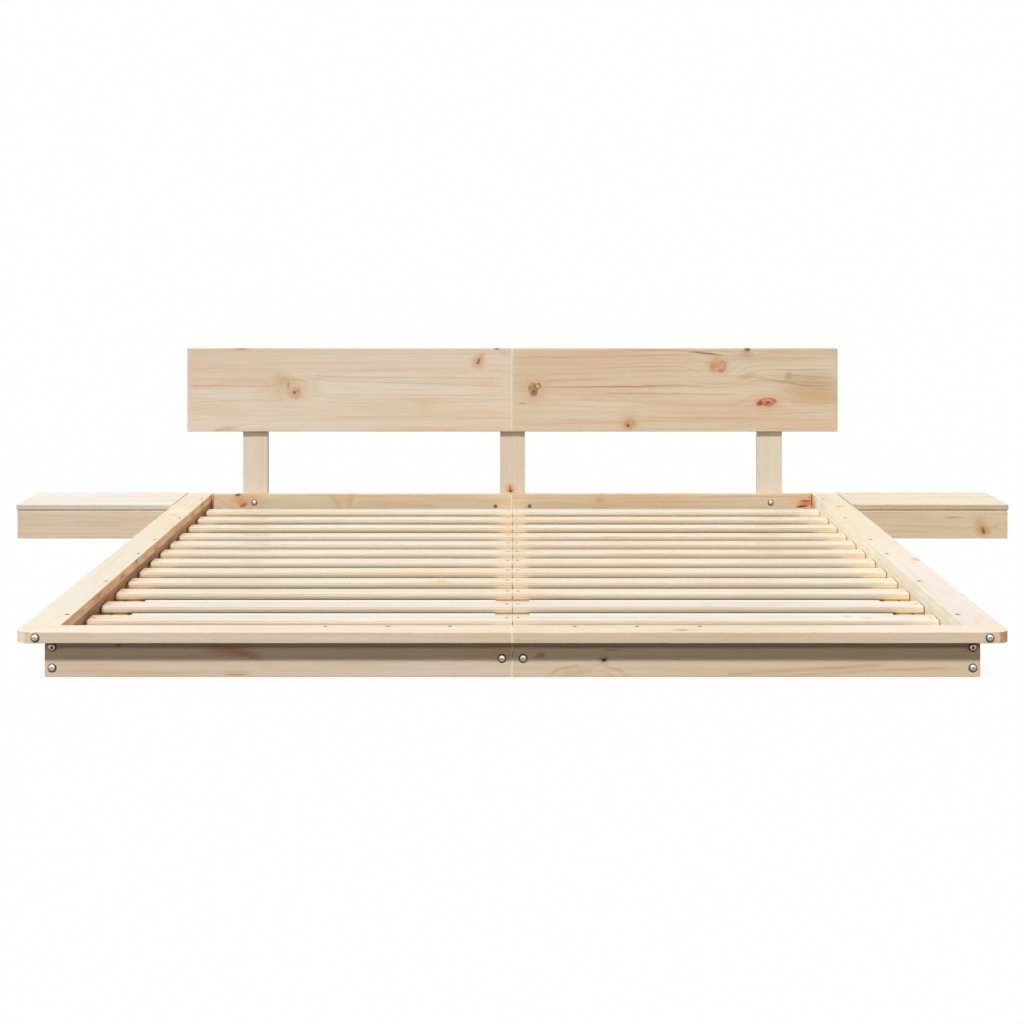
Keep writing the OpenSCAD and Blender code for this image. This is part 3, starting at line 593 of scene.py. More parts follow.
dress("headboard_panel_right", wood(
    "headboard_right", lo, hi, "X", "Z", TONES["headboard_right"], 12, pith=(-0.01, -0.15), spacing=0.0070, late=0.40, streaks=0.34, seam=("X", -0.0007, 0.0036, 0.70),
    knots=[(HB(534.5, 388.2), 0.0135, 1.1, None), (HB(627, 425.5), 0.017, 1.3, None), (HB(718, 366.2), 0.022, 1.4, None),
           (HB(746.5, 346.5), 0.009, 1.6, None), (HB(767, 401.7), 0.012, 2.0, None)],
    marks=on_front(yh,
        (520, 388, 26, 60, 0, (222, 208, 184), 0.42, 0.9), (534, 389, 10, 9, 0, (218, 178, 140), 0.5, 0.9), (533.2, 389.6, 3.9, 5.2, 10, (176, 140, 94), 0.72, 0.45),
        (533.2, 389.6, 3.7, 5.0, 10, (128, 88, 48), 0.62, 0.32, 1.0), (533.8, 391.5, 1.7, 1.6, 0, (108, 68, 36), 0.78, 0.6),
        (537.4, 386.3, 3.0, 2.5, 25, (118, 76, 42), 0.8, 0.34, 1.0),
        (537.5, 386.2, 1.7, 1.4, 25, (220, 192, 152), 0.75, 0.5),
        (522, 403.4, 2.8, 0.9, 0, (176, 152, 126), 0.65, 0.7),
        (628.5, 421.0, 10.0, 9.0, 0, (214, 180, 144), 0.40, 0.8), (626.5, 424.8, 4.4, 3.2, 0, (212, 156, 122), 0.55, 0.8),
        (630.6, 423.6, 5.8, 5.6, -20, (190, 150, 116), 0.48, 0.32),
        (628.0, 425.5, 1.4, 1.3, 0, (112, 58, 36), 0.95, 0.5),
        (718, 366.0, 10, 7.5, 0, (214, 172, 138), 0.5, 0.7), (716, 361.0, 4.5, 4.0, 20, (220, 170, 130), 0.48, 0.85),
        (713.2, 367.4, 3.4, 4.2, 0, (192, 146, 116), 0.55, 0.7), (721.8, 366.4, 3.7, 5.0, -8, (210, 164, 128), 0.5, 0.5),
        (721.8, 366.4, 3.7, 5.0, -8, (172, 120, 90), 0.5, 0.26, 1.0), (719.6, 370.6, 3.0, 1.3, 10, (172, 124, 94), 0.5, 0.7),
        (664, 350.4, 46, 0.8, -1.0, (190, 132, 98), 0.45, 0.7), (706, 353.4, 15, 1.0, -6, (152, 90, 62), 0.72, 0.6),
        (607, 386.9, 66, 0.55, 0.2, (140, 108, 60), 0.6, 0.5),
        (747.2, 349.5, 2.9, 2.0, 0, (108, 80, 46), 0.94, 0.5), (746.5, 353.6, 5.5, 3.6, 0, (206, 170, 142), 0.55, 0.8),
        (766.5, 402.0, 13, 7, 0, (224, 176, 136), 0.62, 0.9), (767.6, 402.0, 7.4, 3.6, 2, (214, 150, 112), 0.62, 0.5),
        (767.6, 401.8, 7.2, 3.4, 2, (150, 86, 56), 0.72, 0.24, 1.0), (768.0, 402.5, 2.6, 1.1, 0, (126, 66, 40), 0.88, 0.6),
        (759.6, 403.6, 3.2, 2.2, 20, (152, 84, 54), 0.85, 0.5),
        (788.3, 376.0, 3.6, 3.4, 40, (172, 136, 94), 0.5, 0.85), (746, 376.5, 8.0, 2.6, 18, (210, 172, 120), 0.5, 0.85), (814, 383.5, 30, 8.5, -3, (198, 168, 120), 0.5, 0.9),
        (814, 396.0, 28, 6.0, -6, (206, 174, 120), 0.62, 0.85)),
    lines=[(HB(640, 386), HB(738, 382), 0.035, 0.0013, OLIVE, 0.5), (HB(600, 393.2), HB(744, 393.2), 0.0, 0.0014, GREY, 0.45),
           (HB(752, 377), HB(838, 391), -0.16, 0.0026, OLIVE, 0.34), (HB(742, 379), HB(838, 388), -0.09, 0.0030, (176, 144, 96), 0.32),
           (HB(786, 374.5), HB(838, 378.5), -0.07, 0.0016, GREY, 0.55), (HB(776, 380.5), HB(838, 384), -0.05, 0.0024, BROWN, 0.4),
           (HB(800, 386), HB(838, 385), 0.03, 0.0012, GREY, 0.6), (HB(770, 370), HB(838, 370), 0.0, 0.0018, BROWN, 0.35),
           (HB(512, 373), HB(600, 373), 0.0, 0.0014, BROWN, 0.28), (HB(512, 357), HB(585, 357), 0.0, 0.0012, GREY, 0.2),
           (HB(640, 418), HB(838, 421), -0.01, 0.0014, BROWN, 0.3), (HB(755, 413), HB(838, 411), 0.01, 0.0013, BROWN, 0.28)]))
yp = at(0, 2107, 0)[1]
for k, n in enumerate(("left", "center", "right")):
    lo, hi = boxed("headboard_post_" + n)
    mk = on_front(yp, (510.3, 489.0, 4.6, 4.8, 0, (212, 150, 118), 0.7, 0.85), (510.2, 488.6, 0.8, 3.2, 3, (136, 76, 52), 0.8, 0.6),
                  (510.4, 490.2, 3.2, 0.7, 8, (150, 88, 60), 0.7, 0.7), (510.5, 491.2, 1.6, 1.0, 0, (104, 50, 34), 0.9, 0.6)) if n == "center" else []
    kn = [(seen_front(510.5, 490, yp), 0.007, 1.3, None)] if n == "center" else []
    kn.append((Vector(((lo[0] + hi[0]) / 2 + 0.02 * (k - 1), yp, 0.43 - 0.05 * k)), 0.009, 1.3, "red"))
    dress("headboard_post_" + n, wood("post_" + n, lo, hi, "Z", "X", TONES["post_" + n], 21 + k, pith=(0.012 * (k - 1), -0.05), spacing=0.006, late=0.16, streaks=0.14, knots=kn, marks=mk))

# back rail: warmer, its inner face is seen above the slats
yb = at(0, 2082, 0)[1]
BR = lambda u, v: seen_front(u, v, yb)
lo, hi = boxed("back_rail_left")
dress("back_rail_left", wood("back_rail_left", lo, hi, "X", "Z", TONES["back_rail_left"], 31, pith=(0.01, -0.09), spacing=0.006, late=0.36, seam=("X", -0.0012, 0.0038, 0.62),
    knots=[(BR(241, 500.5), 0.014, 1.6, None), (BR(343, 501), 0.010, 1.3, None)],
    marks=on_front(yb,
        (249, 499, 13, 8, 0, (230, 184, 154), 0.55, 0.9), (240.9, 500.6, 7.0, 3.6, -54, (226, 162, 118), 0.72, 0.85),
        (238.0, 494.9, 2.9, 1.1, 0, (104, 76, 44), 0.92, 0.55), (244.2, 504.6, 3.0, 1.5, 25, (150, 114, 64), 0.75, 0.7),
        (241.6, 506.4, 2.2, 0.8, 0, (126, 92, 54), 0.7, 0.6), (258.5, 492.5, 3.0, 1.2, 0, (226, 176, 146), 0.5, 0.8),
        (334.8, 500.6, 7.4, 2.2, -47, (206, 174, 122), 0.52, 0.85), (351.0, 499.8, 6.8, 2.8, 75, (210, 180, 128), 0.5, 0.85), (343, 497, 3.6, 4, 0, (228, 200, 156), 0.4, 0.8),
        (213.6, 500, 0.7, 8, 0, (120, 92, 66), 0.6, 0.6))))
lo, hi = boxed("back_rail_right")
dress("back_rail_right", wood("back_rail_right", lo, hi, "X", "Z", TONES["back_rail_right"], 32, pith=(-0.01, -0.09), spacing=0.006, late=0.36, seam=("X", -0.0012, 0.0038, 0.62),
    knots=[(BR(806, 506.5), 0.009, 1.9, None), (BR(600, 500), 0.009, 1.4, "faint")],
    marks=on_front(yb,
        (805, 499.5, 12, 9, 0, (222, 166, 120), 0.5, 0.9), (807.0, 504.0, 7.0, 3.0, 0, (206, 122, 82), 0.8, 0.8),
        (805.8, 500.9, 5.8, 0.75, 2, (140, 66, 38), 0.95, 0.55), (801.6, 506.5, 5.2, 1.0, 5, (120, 56, 34), 0.95, 0.55),
        (809.5, 497.0, 1.6, 1.4, 0, (196, 118, 84), 0.6, 0.7), (811.6, 500.0, 0.7, 8, 0, (136, 74, 50), 0.85, 0.6)),
    lines=[(BR(796, 506), BR(812, 505), 0.06, 0.0022, (170, 84, 52), 0.7), (BR(700, 497), BR(806, 497), 0.0, 0.0018, BROWN, 0.3)]))

# foot board and foot top rail
yf = at(0, 46, 0)[1]
FB = lambda u, v: seen_front(u, v, yf)
lo, hi = boxed("foot_board_left")
dress("foot_board_left", wood("foot_board_left", lo, hi, "X", "Z", TONES["foot_board_left"], 41, pith=(-0.005, -0.06), spacing=0.0085, late=0.28, streaks=0.30, seam=("X", -0.0008, 0.0030, 0.85),
    knots=[(FB(236, 668), 0.012, 2.2, None), (FB(212, 646), 0.010, 1.6, None)],
    marks=on_front(yf,
        (118, 645.0, 3.0, 1.2, 0, (150, 118, 82), 0.6, 0.7), (228, 649.5, 22, 6.0, -6, (214, 166, 128), 0.62, 0.9),
        (246, 653.5, 13, 3.2, -12, (206, 158, 122), 0.5, 0.9), (236, 673.0, 11, 2.6, 0, (228, 190, 168), 0.5, 0.9),
        (237, 674.8, 12, 0.7, 0, (176, 146, 124), 0.55, 0.6)),
    lines=[(FB(205, 646), FB(280, 672), -0.30, 0.006, (214, 176, 140), 0.35)]))
lo, hi = boxed("foot_board_right")
dress("foot_board_right", wood("foot_board_right", lo, hi, "X", "Z", TONES["foot_board_right"], 42, pith=(-0.05, -0.045), spacing=0.0085, late=0.30, streaks=0.3, seam=("X", -0.0008, 0.0030, 0.85),
    knots=[(FB(603.8, 660), 0.0075, 1.5, None), (FB(541, 655), 0.007, 1.2, None)],
    marks=on_front(yf,
        (603.8, 660.2, 5.0, 4.0, 0, (206, 166, 126), 0.55, 0.85), (604.0, 660.0, 2.2, 1.6, 10, (48, 28, 20), 0.97, 0.5),
        (601.2, 659.2, 1.6, 0.5, -20, (84, 56, 38), 0.6, 0.7), (606.6, 660.9, 2.0, 0.5, -10, (96, 64, 44), 0.55, 0.7), (606, 657.8, 1.2, 0.5, 40, (110, 76, 52), 0.4, 0.7),
        (612, 650, 6, 0.6, 0, (150, 120, 90), 0.6, 0.6), (541.5, 655.0, 4.0, 2.6, 0, (186, 138, 104), 0.6, 0.8), (536, 657, 3.0, 1.0, 0, (196, 150, 116), 0.5, 0.7),
        (588, 679, 40, 13.5, 0, (196, 166, 132), 0.40, 0.09, 1.0), (590, 681, 28, 10, 0, (206, 180, 150), 0.40, 0.12, 1.0), (575, 672, 15, 4, 0, (232, 206, 176), 0.4, 0.9)),
    lines=[(FB(720, 675), FB(900, 664), 0.06, 0.0035, (206, 166, 126), 0.45), (FB(760, 677), FB(960, 668), 0.05, 0.0025, (206, 170, 134), 0.4)]))
y0 = at(0, 0, 0)[1]
FR = lambda u, v: seen_front(u, v, y0)
FT = lambda u, v: seen_top(u, v, 0.098)
# the left rail's end grain is painted pale as lit; the right rail's end grain is painted orange-brown over its rounded
# corner, as end grain in painted shade
lo, hi = boxed("foot_top_rail_left")
dress("foot_top_rail_left", wood("foot_rail_left", lo, hi, "X", "Y", TONES["foot_rail_left"], 51, pith=(0.03, -0.05), spacing=0.0075, late=0.28, streaks=0.28, seam=("X", -0.0008, 0.0030, 1.0),
    ends=((252, 247, 238), (240, 226, 206))))
lo, hi = boxed("foot_top_rail_right")
dress("foot_top_rail_right", wood("foot_rail_right", lo, hi, "X", "Y", TONES["foot_rail_right"], 52, pith=(0.02, -0.05), spacing=0.008, late=0.32, streaks=0.3, seam=("X", -0.0008, 0.0030, 1.0),
    ends=((243, 200, 176), (232, 180, 146)), end_from=(0.12, 0.45), knots=[(FT(682, 630.2), 0.006, 3.2, None, 0.0)],
    marks=on_top(0.098, (684, 629.9, 13, 0.9, 0, (234, 194, 146), 0.75, 0.8), (682.8, 630.1, 5.2, 0.6, 0, (168, 104, 54), 0.92, 0.55),
                 (676, 630.3, 3.4, 0.4, 0, (200, 144, 88), 0.7, 0.7))))

# side top rails
# inner faces of the side rails: the left ones painted orange-brown as shade, the right ones pale as lit
INNER = {
    ("left", "front"): (1, (246, 187, 130), 0.92, 0.85, ((255, 222, 166), (184, 124, 82))),
    ("left", "rear"): (1, (246, 189, 130), 0.95, 0.75, ((255, 220, 160), (186, 126, 80))),
    ("right", "front"): (-1, (237, 231, 217), 0.90, 0.30, ((240, 232, 212), (212, 200, 174))),
    ("right", "rear"): (-1, (243, 237, 223), 0.90, 0.25, ((244, 236, 216), (218, 206, 180))),
}
for side, s in (("left", -1), ("right", 1)):
    for part in ("front", "rear"):
        n = f"side_top_rail_{side}_{part}"
        lo, hi = boxed(n)
        kn, mk = {
            ("left", "rear"): ([(FT(175, 514), 0.011, 1.2, None)],
                [(178, 512.0, 9, 2.2, 0, (246, 234, 190), 0.7, 0.9), (174.8, 514.4, 5.4, 0.7, 0, (214, 184, 112), 0.9, 0.6), (173, 514.5, 2.2, 0.4, 0, (178, 142, 82), 0.8, 0.6)]),
            ("left", "front"): ([(FT(61, 611), 0.010, 1.2, None)], [(60, 610.8, 10, 1.3, 0, (240, 224, 182), 0.6, 0.9), (62, 610.9, 4, 0.5, 0, (226, 202, 150), 0.6, 0.7)]),
            ("right", "rear"): ([(FT(840, 506.3), 0.010, 1.2, None)],
                [(840.5, 505.6, 9, 1.6, 0, (250, 226, 170), 0.7, 0.9), (840.4, 506.4, 5.2, 0.7, 0, (232, 170, 88), 0.9, 0.6), (838.6, 506.5, 2.4, 0.4, 0, (196, 122, 58), 0.8, 0.6)]),
            ("right", "front"): ([(FT(914, 559.2), 0.012, 1.2, None)],
                [(907, 559.0, 9, 1.2, 0, (252, 232, 178), 0.8, 0.9), (915, 559.3, 4.4, 1.5, 0, (228, 170, 112), 0.85, 0.7), (917.5, 559.9, 2.2, 0.8, 0, (206, 146, 92), 0.75, 0.7),
                 (962.4, 595.2, 2.4, 0.8, 0, (214, 206, 188), 0.7, 0.7)]),
        }[(side, part)]
        tone = TONES[f"side_rail_{side}_{part}"]
        joint = hi[1] if part == "front" else lo[1]
        other = lin(*TONES[f"side_rail_{side}_" + ("rear" if part == "front" else "front")])
        blend = (Vector(((lo[0] + hi[0]) / 2, joint, 0.098)), 0.9, 0.22, 0, other, 0.5, 1.0, 0.0)
        # painted shade round the countersunk screws, standing in for the shade in the countersinks; stronger on the
        # right rail
        sunk = [(Vector(at(s * 917, Y_MID + d, 98)), 0.0068, 0.0085, 0, (148, 124, 90), 0.3 if s < 0 else 0.6, 0.5, 0.0)
                for d in ((-892, -500, -113) if part == "front" else (113, 500, 892))]
        dress(n, wood(n, lo, hi, "Y", "X", tone, 61 + (s > 0) * 2 + (part == "rear"), pith=(0.01 * s, -0.08), spacing=0.0065, late=0.20, streaks=0.22,
                      knots=kn, marks=[blend] + on_top(0.098, *mk) + sunk, inner=INNER[side, part]))

# side boards, ledgers, beam and other inner boards
# inner faces of the side boards: the left ones painted dark brown as shade, the right ones pale as lit
INNER_BOARD = {
    ("left", "front"): (1, (152, 93, 50), 0.98, 0.70, ((178, 116, 66), (112, 64, 32))),
    ("left", "rear"): (1, (156, 99, 56), 0.98, 0.70, ((182, 122, 74), (114, 68, 36))),
    ("right", "front"): (-1, (226, 220, 207), 0.90, 0.30, ((236, 228, 206), (206, 194, 168))),
    ("right", "rear"): (-1, (236, 231, 216), 0.90, 0.25, ((240, 232, 210), (214, 202, 176))),
}
rnd = random.Random(5)
for side, s in (("left", -1), ("right", 1)):
    for part in ("front", "rear"):
        n = f"side_board_{side}_{part}"
        lo, hi = boxed(n)
        tone = TONES["side_board_" + side]
        kn = [(Vector((lo[0], rnd.uniform(lo[1] + 0.1, hi[1] - 0.1), rnd.uniform(0.02, 0.06))), rnd.uniform(0.006, 0.011), rnd.uniform(1.1, 1.8), "red") for _ in range(3)]
        dress(n, wood(n, lo, hi, "Y", "Z", tone, 71 + (s > 0) * 2 + (part == "rear"), pith=(0.01, -0.06 * s), spacing=0.006, late=0.5, streaks=0.4, knots=kn,
                      inner=INNER_BOARD[side, part]))
        n = f"slat_ledger_{side}_{part}"
        lo, hi = boxed(n)
        tone = TONES["ledger_" + side]
        dress(n, wood(n, lo, hi, "Y", "Z", tone, 81 + (s > 0) * 2 + (part == "rear"), pith=(0.02, 0.04), spacing=0.0045, late=0.45))
# the battens' left half is painted dark brown and the right half a darker tan, as painted shade under the slat ends
lo, hi = boxed("slat_end_battens")
dress("slat_end_battens", wood("end_battens", lo, hi, "Y", "X", TONES["battens"], 91, pith=(0.0, -0.06), spacing=0.0045, halves=[("X", 0.0), ("Y", 0.01)],
    marks=[(Vector((-0.85, 0.0, 0.03)), 0.10, 1.6, 0, (158, 124, 84), 0.80, 0.1, 0.0), (Vector((0.85, 0.0, 0.03)), 0.10, 1.6, 0, (206, 178, 138), 0.75, 0.1, 0.0)]))
for part in ("front", "rear"):
    lo, hi = boxed("center_beam_" + part)
    dress("center_beam_" + part, wood("beam_" + part, lo, hi, "Y", "X", TONES["beam"], 93 + (part == "rear"), pith=(0.01, -0.05), spacing=0.005, late=0.4,
        knots=[(Vector((0.012, lo[1] + 0.34, 0.03)), 0.008, 1.5, "red")]))
lo, hi = boxed("center_beam_feet")
dress("center_beam_feet", wood("beam_feet", lo, hi, "X", "Y", TONES["feet"], 96, pith=(0.03, -0.04), spacing=0.005, halves=[("Y", -0.2), ("Y", 0.2)]))

# slats: no two boards have quite the same tone; the last row's tone is raised as painted light against the back rail's
# shade
SLAT_TONE = [(0, 0, 0), (0, 0, 0), (-3, -2, 2), (2, -1, -4), (-4, 0, 0), (-1, -1, -4), (2, 0, -3), (0, -1, -5), (-4, -6, -8), (-5, -6, -8), (-1, -3, -7), (4, 3, 1), (12, 15, 17)]
for k in range(13):
    n = f"slat_row_{k + 1:02d}"
    lo, hi = boxed(n)
    r = random.Random(200 + k)
    kn = []
    mk = []
    if k == 1:
        kn = [(seen_top(866, 617.8, 0.063), 0.008, 2.0, None, 0.0), (seen_top(848, 616.3, 0.063), 0.008, 1.6, None, 0.0)]
        mk = on_top(0.063, (848, 616.3, 5.5, 1.3, 0, (232, 204, 164), 0.6, 0.8), (846, 616.0, 2.4, 0.5, 0, (206, 170, 124), 0.6, 0.7),
                    (866, 617.8, 6.0, 1.0, 0, (230, 200, 158), 0.6, 0.8), (868, 617.6, 2.6, 0.5, 0, (204, 166, 120), 0.6, 0.7))
    elif k in (4, 7, 9, 11):
        kn = [(Vector((r.uniform(-0.8, 0.8), lo[1] + r.uniform(0.015, 0.055), 0.063)), r.uniform(0.004, 0.007), r.uniform(1.6, 2.6), r.choice(["faint", "pale", "faint"]), 0.0)]
    warmth = r.uniform(-1, 1)
    tone = tuple(min(255, a + b + c) for a, b, c in zip(TONES["slats"], SLAT_TONE[k], (warmth, 0, -3 * warmth)))
    dress(n, wood(n, lo, hi, "X", "Y", tone, 201 + k, pith=(r.uniform(-0.02, 0.02), r.choice([-1, 1]) * r.uniform(0.03, 0.07)), spacing=r.uniform(0.0045, 0.0065),
                  late=0.24, streaks=0.24, knots=kn, marks=mk, halves=[("X", 0.0)], nose_light_and_shade=0.45, seam=("X", 0.0, 0.0022, 0.55)))

# nightstands
for side, s in (("left", -1), ("right", 1)):
    top = f"nightstand_{side}_top"
    lo, hi = boxed(top)
    ny = at(0, 1848.5, 0)[1]
    tone_t = TONES["night_top_" + side]
    kt = [] if s < 0 else [(seen_top(968, 496.5, 0.098), 0.009, 2.4, "faint", 0.0), (seen_top(872, 493.3, 0.098), 0.006, 2.0, "pale", 0.0)]
    dress(top, wood(top, lo, hi, "X", "Y", tone_t, 101 + (s > 0), pith=(0.03 * s, -0.12), spacing=0.007, late=0.3, streaks=0.3, knots=kt))
    fr = f"nightstand_{side}_front"
    lo, hi = boxed(fr)
    kf = [] if s < 0 else [(seen_front(983.4, 531, ny), 0.012, 1.0, None), (seen_front(952, 517, ny), 0.009, 2.0, None)]
    mf = [] if s < 0 else on_front(ny,
        (983.6, 530.5, 6.0, 5.0, 0, (210, 150, 104), 0.65, 0.85), (980.5, 524.5, 5.5, 7.0, 15, (216, 174, 130), 0.45, 0.9),
        (983.4, 531.2, 1.5, 2.8, 18, (142, 88, 44), 0.88, 0.7), (982.6, 528.0, 0.9, 1.5, 20, (170, 120, 70), 0.7, 0.7),
        (952, 517.4, 6.0, 0.6, 4, (164, 140, 106), 0.55, 0.7), (960, 517.2, 4.5, 0.5, -4, (182, 156, 120), 0.4, 0.7), (996, 526, 3, 2, 0, (226, 176, 136), 0.4, 0.8))
    # the front board's top edge is painted pale, as painted light over the shadow line under the top
    dress(fr, wood(fr, lo, hi, "X", "Z", TONES["night_front_" + side], 103 + (s > 0), pith=(0.015 * s, -0.09), spacing=0.0065, late=0.34, streaks=0.4, knots=kf, marks=mf, seam=("Z", hi[2] - 0.001, 0.006, 0.6)))
    for k, (part, al) in enumerate((("back", "X"), ("outer_side", "Y"), ("inner_side", "Y"))):
        n = f"nightstand_{side}_{part}"
        lo, hi = boxed(n)
        c = (Vector(lo) + Vector(hi)) / 2
        kn = [(c + Vector((0.06 if al == "X" else 0, 0.04 if al == "Y" else 0, 0.01)), 0.008, 1.5, "red")]
        dress(n, wood(n, lo, hi, al, "Z", TONES["night_side"], 107 + 3 * (s > 0) + k, pith=(0.01, -0.07), spacing=0.0055, late=0.38, knots=kn))
    n = "nightstand_spacer_" + side
    lo, hi = boxed(n)
    dress(n, wood(n, lo, hi, "Y", "Z", TONES["spacer"], 114 + (s > 0), pith=(0.0, 0.01), spacing=0.0045, late=0.5))

# ------------------------------------------------------------ metal finishes


def steel(name, base, rough, wear, dirt_and_shade_ink, edge=1.0):
    """Plated steel: fine turning marks, soft blotches, and darker where hollow is set: dirt in the hollows, painted
    shade on the bolt heads' rims and sockets
    """
    mat = bpy.data.materials.new(name)
    mat.use_nodes = True
    nt = mat.node_tree
    nt.nodes.clear()
    t = Tree(nt)
    out = t.new("ShaderNodeOutputMaterial")
    bsdf = t.new("ShaderNodeBsdfPrincipled")
    nt.links.new(bsdf.outputs[0], out.inputs[0])
    bsdf.inputs["Metallic"].default_value = 1.0
    bsdf.inputs["Specular Tint"].default_value = (edge, edge * 0.97, edge * 0.92, 1) if edge < 1.0 else (1, 1, 1, 1)
    coord = t.new("ShaderNodeTexCoord")
    obj = coord.outputs["Object"]
    blotch = t.noise(obj, 130.0, 3.0, 0.6)
    fine = t.noise(obj, 1900.0, 2.0, 0.6)
    scratch = t.noise(t.vec("MULTIPLY", obj, (2600.0, 300.0, 900.0)), 1.0, 2.0, 0.6)
    att = t.new("ShaderNodeAttribute", attribute_name="hollow")
    hollow = att.outputs["Fac"]
    col = t.mix(t.span(blotch, 0.35, 0.7), lin(*base), lin(*[c * 0.93 for c in base]))
    col = t.mix(t.math("MULTIPLY", t.span(fine, 0.55, 0.75), wear), col, lin(*[c * 0.74 for c in base]))
    col = t.mix(t.math("MULTIPLY", hollow, 0.9), col, lin(*dirt_and_shade_ink))
    nt.links.new(col, bsdf.inputs["Base Color"])
    ro = t.math("MULTIPLY_ADD", t.math("SUBTRACT", blotch, 0.5), 0.16, rough)
    ro = t.math("MULTIPLY_ADD", hollow, 0.25, ro)
    nt.links.new(t.math("MULTIPLY_ADD", t.math("SUBTRACT", scratch, 0.5), 0.10, ro), bsdf.inputs["Roughness"])
    bump = t.new("ShaderNodeBump")
    bump.inputs["Strength"].default_value = 0.25
    bump.inputs["Distance"].default_value = 0.00006
    nt.links.new(t.math("ADD", fine, scratch), bump.inputs["Height"])
    nt.links.new(bump.outputs[0], bsdf.inputs["Normal"])
    return mat


BOLT = steel("bolt_nickel", (252, 242, 222), 0.34, 0.20, (56, 34, 20))
CONNECTOR = steel("connector_zinc", (158, 152, 142), 0.45, 0.4, (52, 44, 36))
# the frame screws' plating is painted dark grey-brown with dimmed reflection, as painted shade of the countersinks they
# sit in
SCREW = steel("screw_zinc", (98, 89, 73), 0.50, 0.4, (30, 24, 18), edge=0.4)
SLAT_SCREW = steel("slat_screw_zinc", (196, 184, 160), 0.50, 0.3, (86, 72, 52))

# ------------------------------------------------------------ fastener shapes
# Each shape is a list of rings around z, from the shank's tip to the head, or
# the other way round. A ring is (radius, height, hollow) where radius may be a
# function of the angle; hollow is dirt in the hollows and painted shade on bolt heads.


def hexagon(apothem):
    return lambda a: apothem / math.cos((a % (math.pi / 3)) - math.pi / 6)


def cross_shape(length, half):
    def f(a):
        p = abs(((a + math.pi / 4) % (math.pi / 2)) - math.pi / 4)
        return min(length / math.cos(p), half / max(math.sin(p), 1e-6))
    return f


def slot_shape(length, half):
    def f(a):
        p = abs(((a + math.pi / 2) % math.pi) - math.pi / 2)
        return min(length / max(math.cos(p), 1e-6), half / max(math.sin(p), 1e-6))
    return f


def turned(rings, seg):
    """closed mesh data of rings around z; the first and last ring are closed by a point"""
    verts, faces, hollow = [], [], []
    for ring in rings:
        r, z, h = ring[:3]
        for k in range(seg):
            a = 2 * math.pi * k / seg
            rr = r(a) if callable(r) else r
            zz = z(a, rr) if callable(z) else z
            verts.append((rr * math.cos(a), rr * math.sin(a), zz))
            hollow.append(h)
    for i in range(len(rings) - 1):
        for k in range(seg):
            a, b = i * seg + k, i * seg + (k + 1) % seg
            faces.append((a, b, b + seg, a + seg))
    z0 = rings[0][1] if not callable(rings[0][1]) else 0
    verts.append((0, 0, z0 if len(rings[0]) < 4 else rings[0][3]))
    hollow.append(rings[0][2])
    c = len(verts) - 1
    for k in range(seg):
        faces.append((c, (k + 1) % seg, k))
    zn = rings[-1][1]
    verts.append((0, 0, zn if len(rings[-1]) < 4 else rings[-1][3]))
    hollow.append(rings[-1][2])
    c = len(verts) - 1
    n = (len(rings) - 1) * seg
    for k in range(seg):
        faces.append((c, n + k, n + (k + 1) % seg))
    return verts, faces, hollow


HEAD_R, HEAD_H, RIM = 9.0, 4.5, 0.8


def dome(r):
    h = HEAD_H - RIM
    big = (HEAD_R ** 2 + h * h) / (2 * h)
    return HEAD_H - big + math.sqrt(max(big * big - r * r, 0))


def head_rings(clear):
    """domed head above z = 0 with an eased rim and a hexagon socket; the rim and outer dome are painted dark as shade,
    and where clear is set the socket is shallower and painted lighter as lit
    """
    k = 0.62 if clear else 1.0
    # the rim and outer dome rings carry full hollow: a painted dark ring of shade round the head
    rings = [(HEAD_R - 0.5, 0.0, 1.0), (HEAD_R - 0.12, 0.10, 1.0), (HEAD_R, 0.35, 1.0), (HEAD_R - 0.02, 0.7, 1.0), (8.7, dome(8.7), 1.0), (8.0, dome(8.0), 1.0), (7.2, dome(7.2), 1.0), (6.5, dome(6.5), 0.8)]
    for r, h in ((6.0, 0.45), (5.3, 0.1), (4.7, 0.0), (4.1, 0.0)):
        rings.append((r, dome(r), h))
    hx = hexagon(2.62)
    wide = hexagon(2.95)
    rings.append((wide, lambda a, r: dome(r) - 0.02, 0.0))
    rings.append((hx, HEAD_H - 0.75, 0.5 * k))
    rings.append((hx, HEAD_H - 1.6, 0.95 * k))
    rings.append((hexagon(2.58), HEAD_H - (2.4 if clear else 3.0), k))
    rings.append((1.4, HEAD_H - (2.42 if clear else 3.05), 0.2 if clear else 1.0, HEAD_H - (2.5 if clear else 3.6)))
    return rings


def thread(z0, z1, r, pitch, depth=0.35):
    """machine thread drawn as close rings"""
    rings = []
    n = int((z1 - z0) / pitch)
    for k in range(n):
        z = z0 + k * pitch
        rings += [(r - depth, z + pitch * 0.05, 0.5), (r, z + pitch * 0.45, 0.2), (r, z + pitch * 0.58, 0.2)]
    return rings


def bolt_mesh(length, d, threaded, clear=True):
    r = d / 2 - 0.02
    rings = [(r - 1.0, -length, 0.3)]
    rings += thread(-length + 0.8, -length + threaded, r, 1.25)
    rings += [(r - 0.05, -length + threaded + 0.6, 0.1), (r - 0.05, -0.9, 0.1), (r, -0.4, 0.3), (r, -0.02, 0.5)]
    return turned(rings + head_rings(clear), 48)


def cap_mesh(sleeve, outer, bore):
    # sleeve nut: up the outside is the head, down the inside is the bore
    ro, ri = outer / 2, bore / 2
    rings = [(ri, -2.0, 1.0, -1.6), (ri, -sleeve + 0.6, 0.9), (ri + 0.4, -sleeve, 0.4), (ro - 0.3, -sleeve, 0.2), (ro, -sleeve + 0.4, 0.1), (ro, -0.3, 0.2), (ro, -0.02, 0.5)]
    return turned(rings + head_rings(True), 48)


